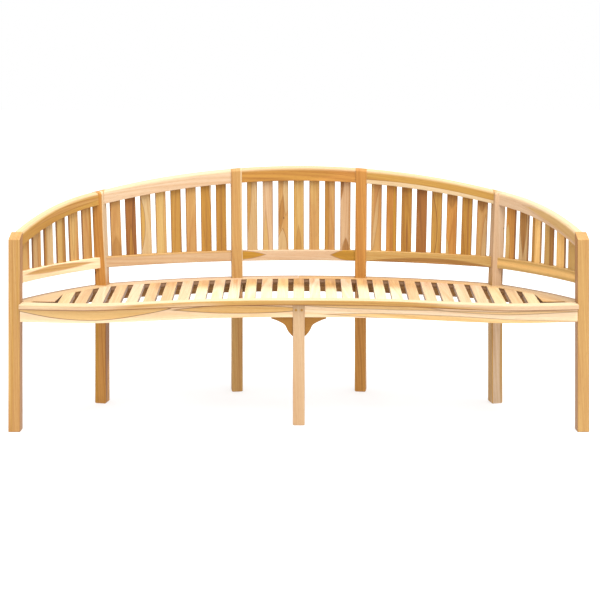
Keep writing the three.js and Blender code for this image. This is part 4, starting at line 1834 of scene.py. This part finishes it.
@dataclass(frozen=True)
class Plugs:
    """Round teak plugs over the screws."""

    plan: Plan
    radius: float = 4.5
    proud: float = 0.4
    depth: float = 3.0
    corners: int = 20
    apart: float = 20.0
    below_board: float = 20.0
    # Shares of the radius and of the dome's height.
    dome: tuple[Spot, ...] = ((0.86, 0.8), (0.45, 1.0))

    def build(self) -> Iterator[bpy.types.Object]:
        """Builds the two plugs in the face of the centre leg.

        Returns:
            The pieces one by one.
        """
        plan = self.plan
        for i, hand in enumerate(SIDES.values()):
            across = Vector((hand * self.apart / 2, plan.setback - plan.leg_proud))
            middle = plan.place(across, plan.board_foot - self.below_board)
            plug = self._plug(f"centre_leg_plug_{i + 1}", middle, Vector((0.0, -1.0, 0.0)))
            yield fit(plug, "teak_posts", Teak(Tone.GOLD, 80.0 + i, 0.8))

    def _plug(self, name: str, middle: Vector, outward: Vector) -> bpy.types.Object:
        """Builds one plug with a softly domed face.

        Args:
            name: the piece's name.
            middle: the middle of the hole, on the surface, in metres.
            outward: the direction that the plug faces.

        Returns:
            The plug.
        """
        side = outward.orthogonal().normalized()
        up = outward.cross(side)
        profile = [(1.0, -self.depth), (1.0, 0.0)]
        profile += [(share, self.proud * height) for share, height in self.dome]
        rings = []
        for share, height in profile:
            ring = []
            for i in range(self.corners):
                angle = 2 * math.pi * i / self.corners
                flat = (side * math.cos(angle) + up * math.sin(angle)) * (self.radius * share * MM)
                ring.append((middle + flat + outward * (height * MM), flat))
            rings.append(ring)
        return shape_board(name, rings)


@dataclass(frozen=True)
class Softbox:
    """Far soft light: where it hangs, as seen from the bench, and how wide it appears in degrees."""

    name: str
    strength: float
    towards: Triple
    spread: float

    def hang(self) -> None:
        """Hangs the light."""
        light = bpy.data.lights.new(self.name, "SUN")
        light.energy = self.strength
        light.angle = math.radians(self.spread)
        put(self.name, light).rotation_euler = Vector(self.towards).to_track_quat("Z", "Y").to_euler()


@dataclass(frozen=True)
class Studio:
    """Floor, light and camera. Lengths are in metres, the view in pixels and the sensor in millimetres."""

    plan: Plan
    focal_pixels: float = 1109.0
    image_side: int = 600
    horizon_row: int = 80
    centre_column: float = 298.8
    camera_height: float = 1.2244
    camera_distance: float = 3.853
    sensor: float = 36.0
    floor_half: float = 40.0
    floor_paleness: float = 0.4
    floor_roughness: float = 0.9
    floor_glow: float = 0.6
    sky: float = 1.0
    lights: tuple[Softbox, ...] = (
        Softbox("overhead", 4.5, (0.1, -0.3, 1.0), 45.0),
        Softbox("key", 0.3, (0.62, -0.62, 0.5), 20.0),
    )

    def build(self) -> None:
        """Sets up the floor, the light and the camera."""
        self._floor()
        self._sky()
        for light in self.lights:
            light.hang()
        self._camera()

    def _floor(self) -> None:
        """Lays the pale floor."""
        half = self.floor_half
        mesh = bpy.data.meshes.new("floor")
        corners = [(-half, -half, 0), (half, -half, 0), (half, half, 0), (-half, half, 0)]
        mesh.from_pydata(corners, [], [(0, 1, 2, 3)])
        paint = FinishDesk("floor_paint").finish(
            Base_Color=(self.floor_paleness, self.floor_paleness, self.floor_paleness, 1.0),
            Roughness=self.floor_roughness,
            Specular_IOR_Level=0.0,
            Emission_Color=WHITE,
            Emission_Strength=self.floor_glow,
        )
        mesh.materials.append(paint)
        floor = put("floor", mesh)

    def _sky(self) -> None:
        """Fills the studio with even white light."""
        scene = bpy.context.scene
        world = bpy.data.worlds.new("studio")
        world.use_nodes = True
        background = world.node_tree.nodes["Background"]
        background.inputs["Color"].default_value = WHITE
        background.inputs["Strength"].default_value = self.sky
        scene.world = world
        scene.view_settings.view_transform = "Standard"
        scene.view_settings.look = "None"
        scene.view_settings.exposure = 0.0

    def _camera(self) -> None:
        """Sets the camera level, with the view shifted down to the bench."""
        camera_data = bpy.data.cameras.new("camera")
        camera_data.sensor_width = self.sensor
        camera_data.lens = self.focal_pixels * self.sensor / self.image_side
        camera_data.shift_x = (self.image_side / 2 - self.centre_column) / self.image_side
        camera_data.shift_y = (self.horizon_row - self.image_side / 2) / self.image_side
        camera = put("camera", camera_data)
        camera.location = (0.0, self.plan.front_plane - self.camera_distance, self.camera_height)
        camera.rotation_euler = (math.radians(90), 0.0, 0.0)
        bpy.context.scene.camera = camera


def main() -> None:
    """Builds the bench's sub-assemblies in order, then the studio."""
    logging.basicConfig(level=logging.INFO, format="%(name)s: %(message)s")
    plan = Plan()
    for assembly in (Back(plan), Legs(plan), Underframe(plan), Seat(plan), Plugs(plan)):
        for piece in assembly.build():
            LOG.info("%s, %s: %d corners", type(assembly).__name__, piece.name, len(piece.data.vertices))
    Studio(plan).build()


if __name__ == "__main__":
    main()
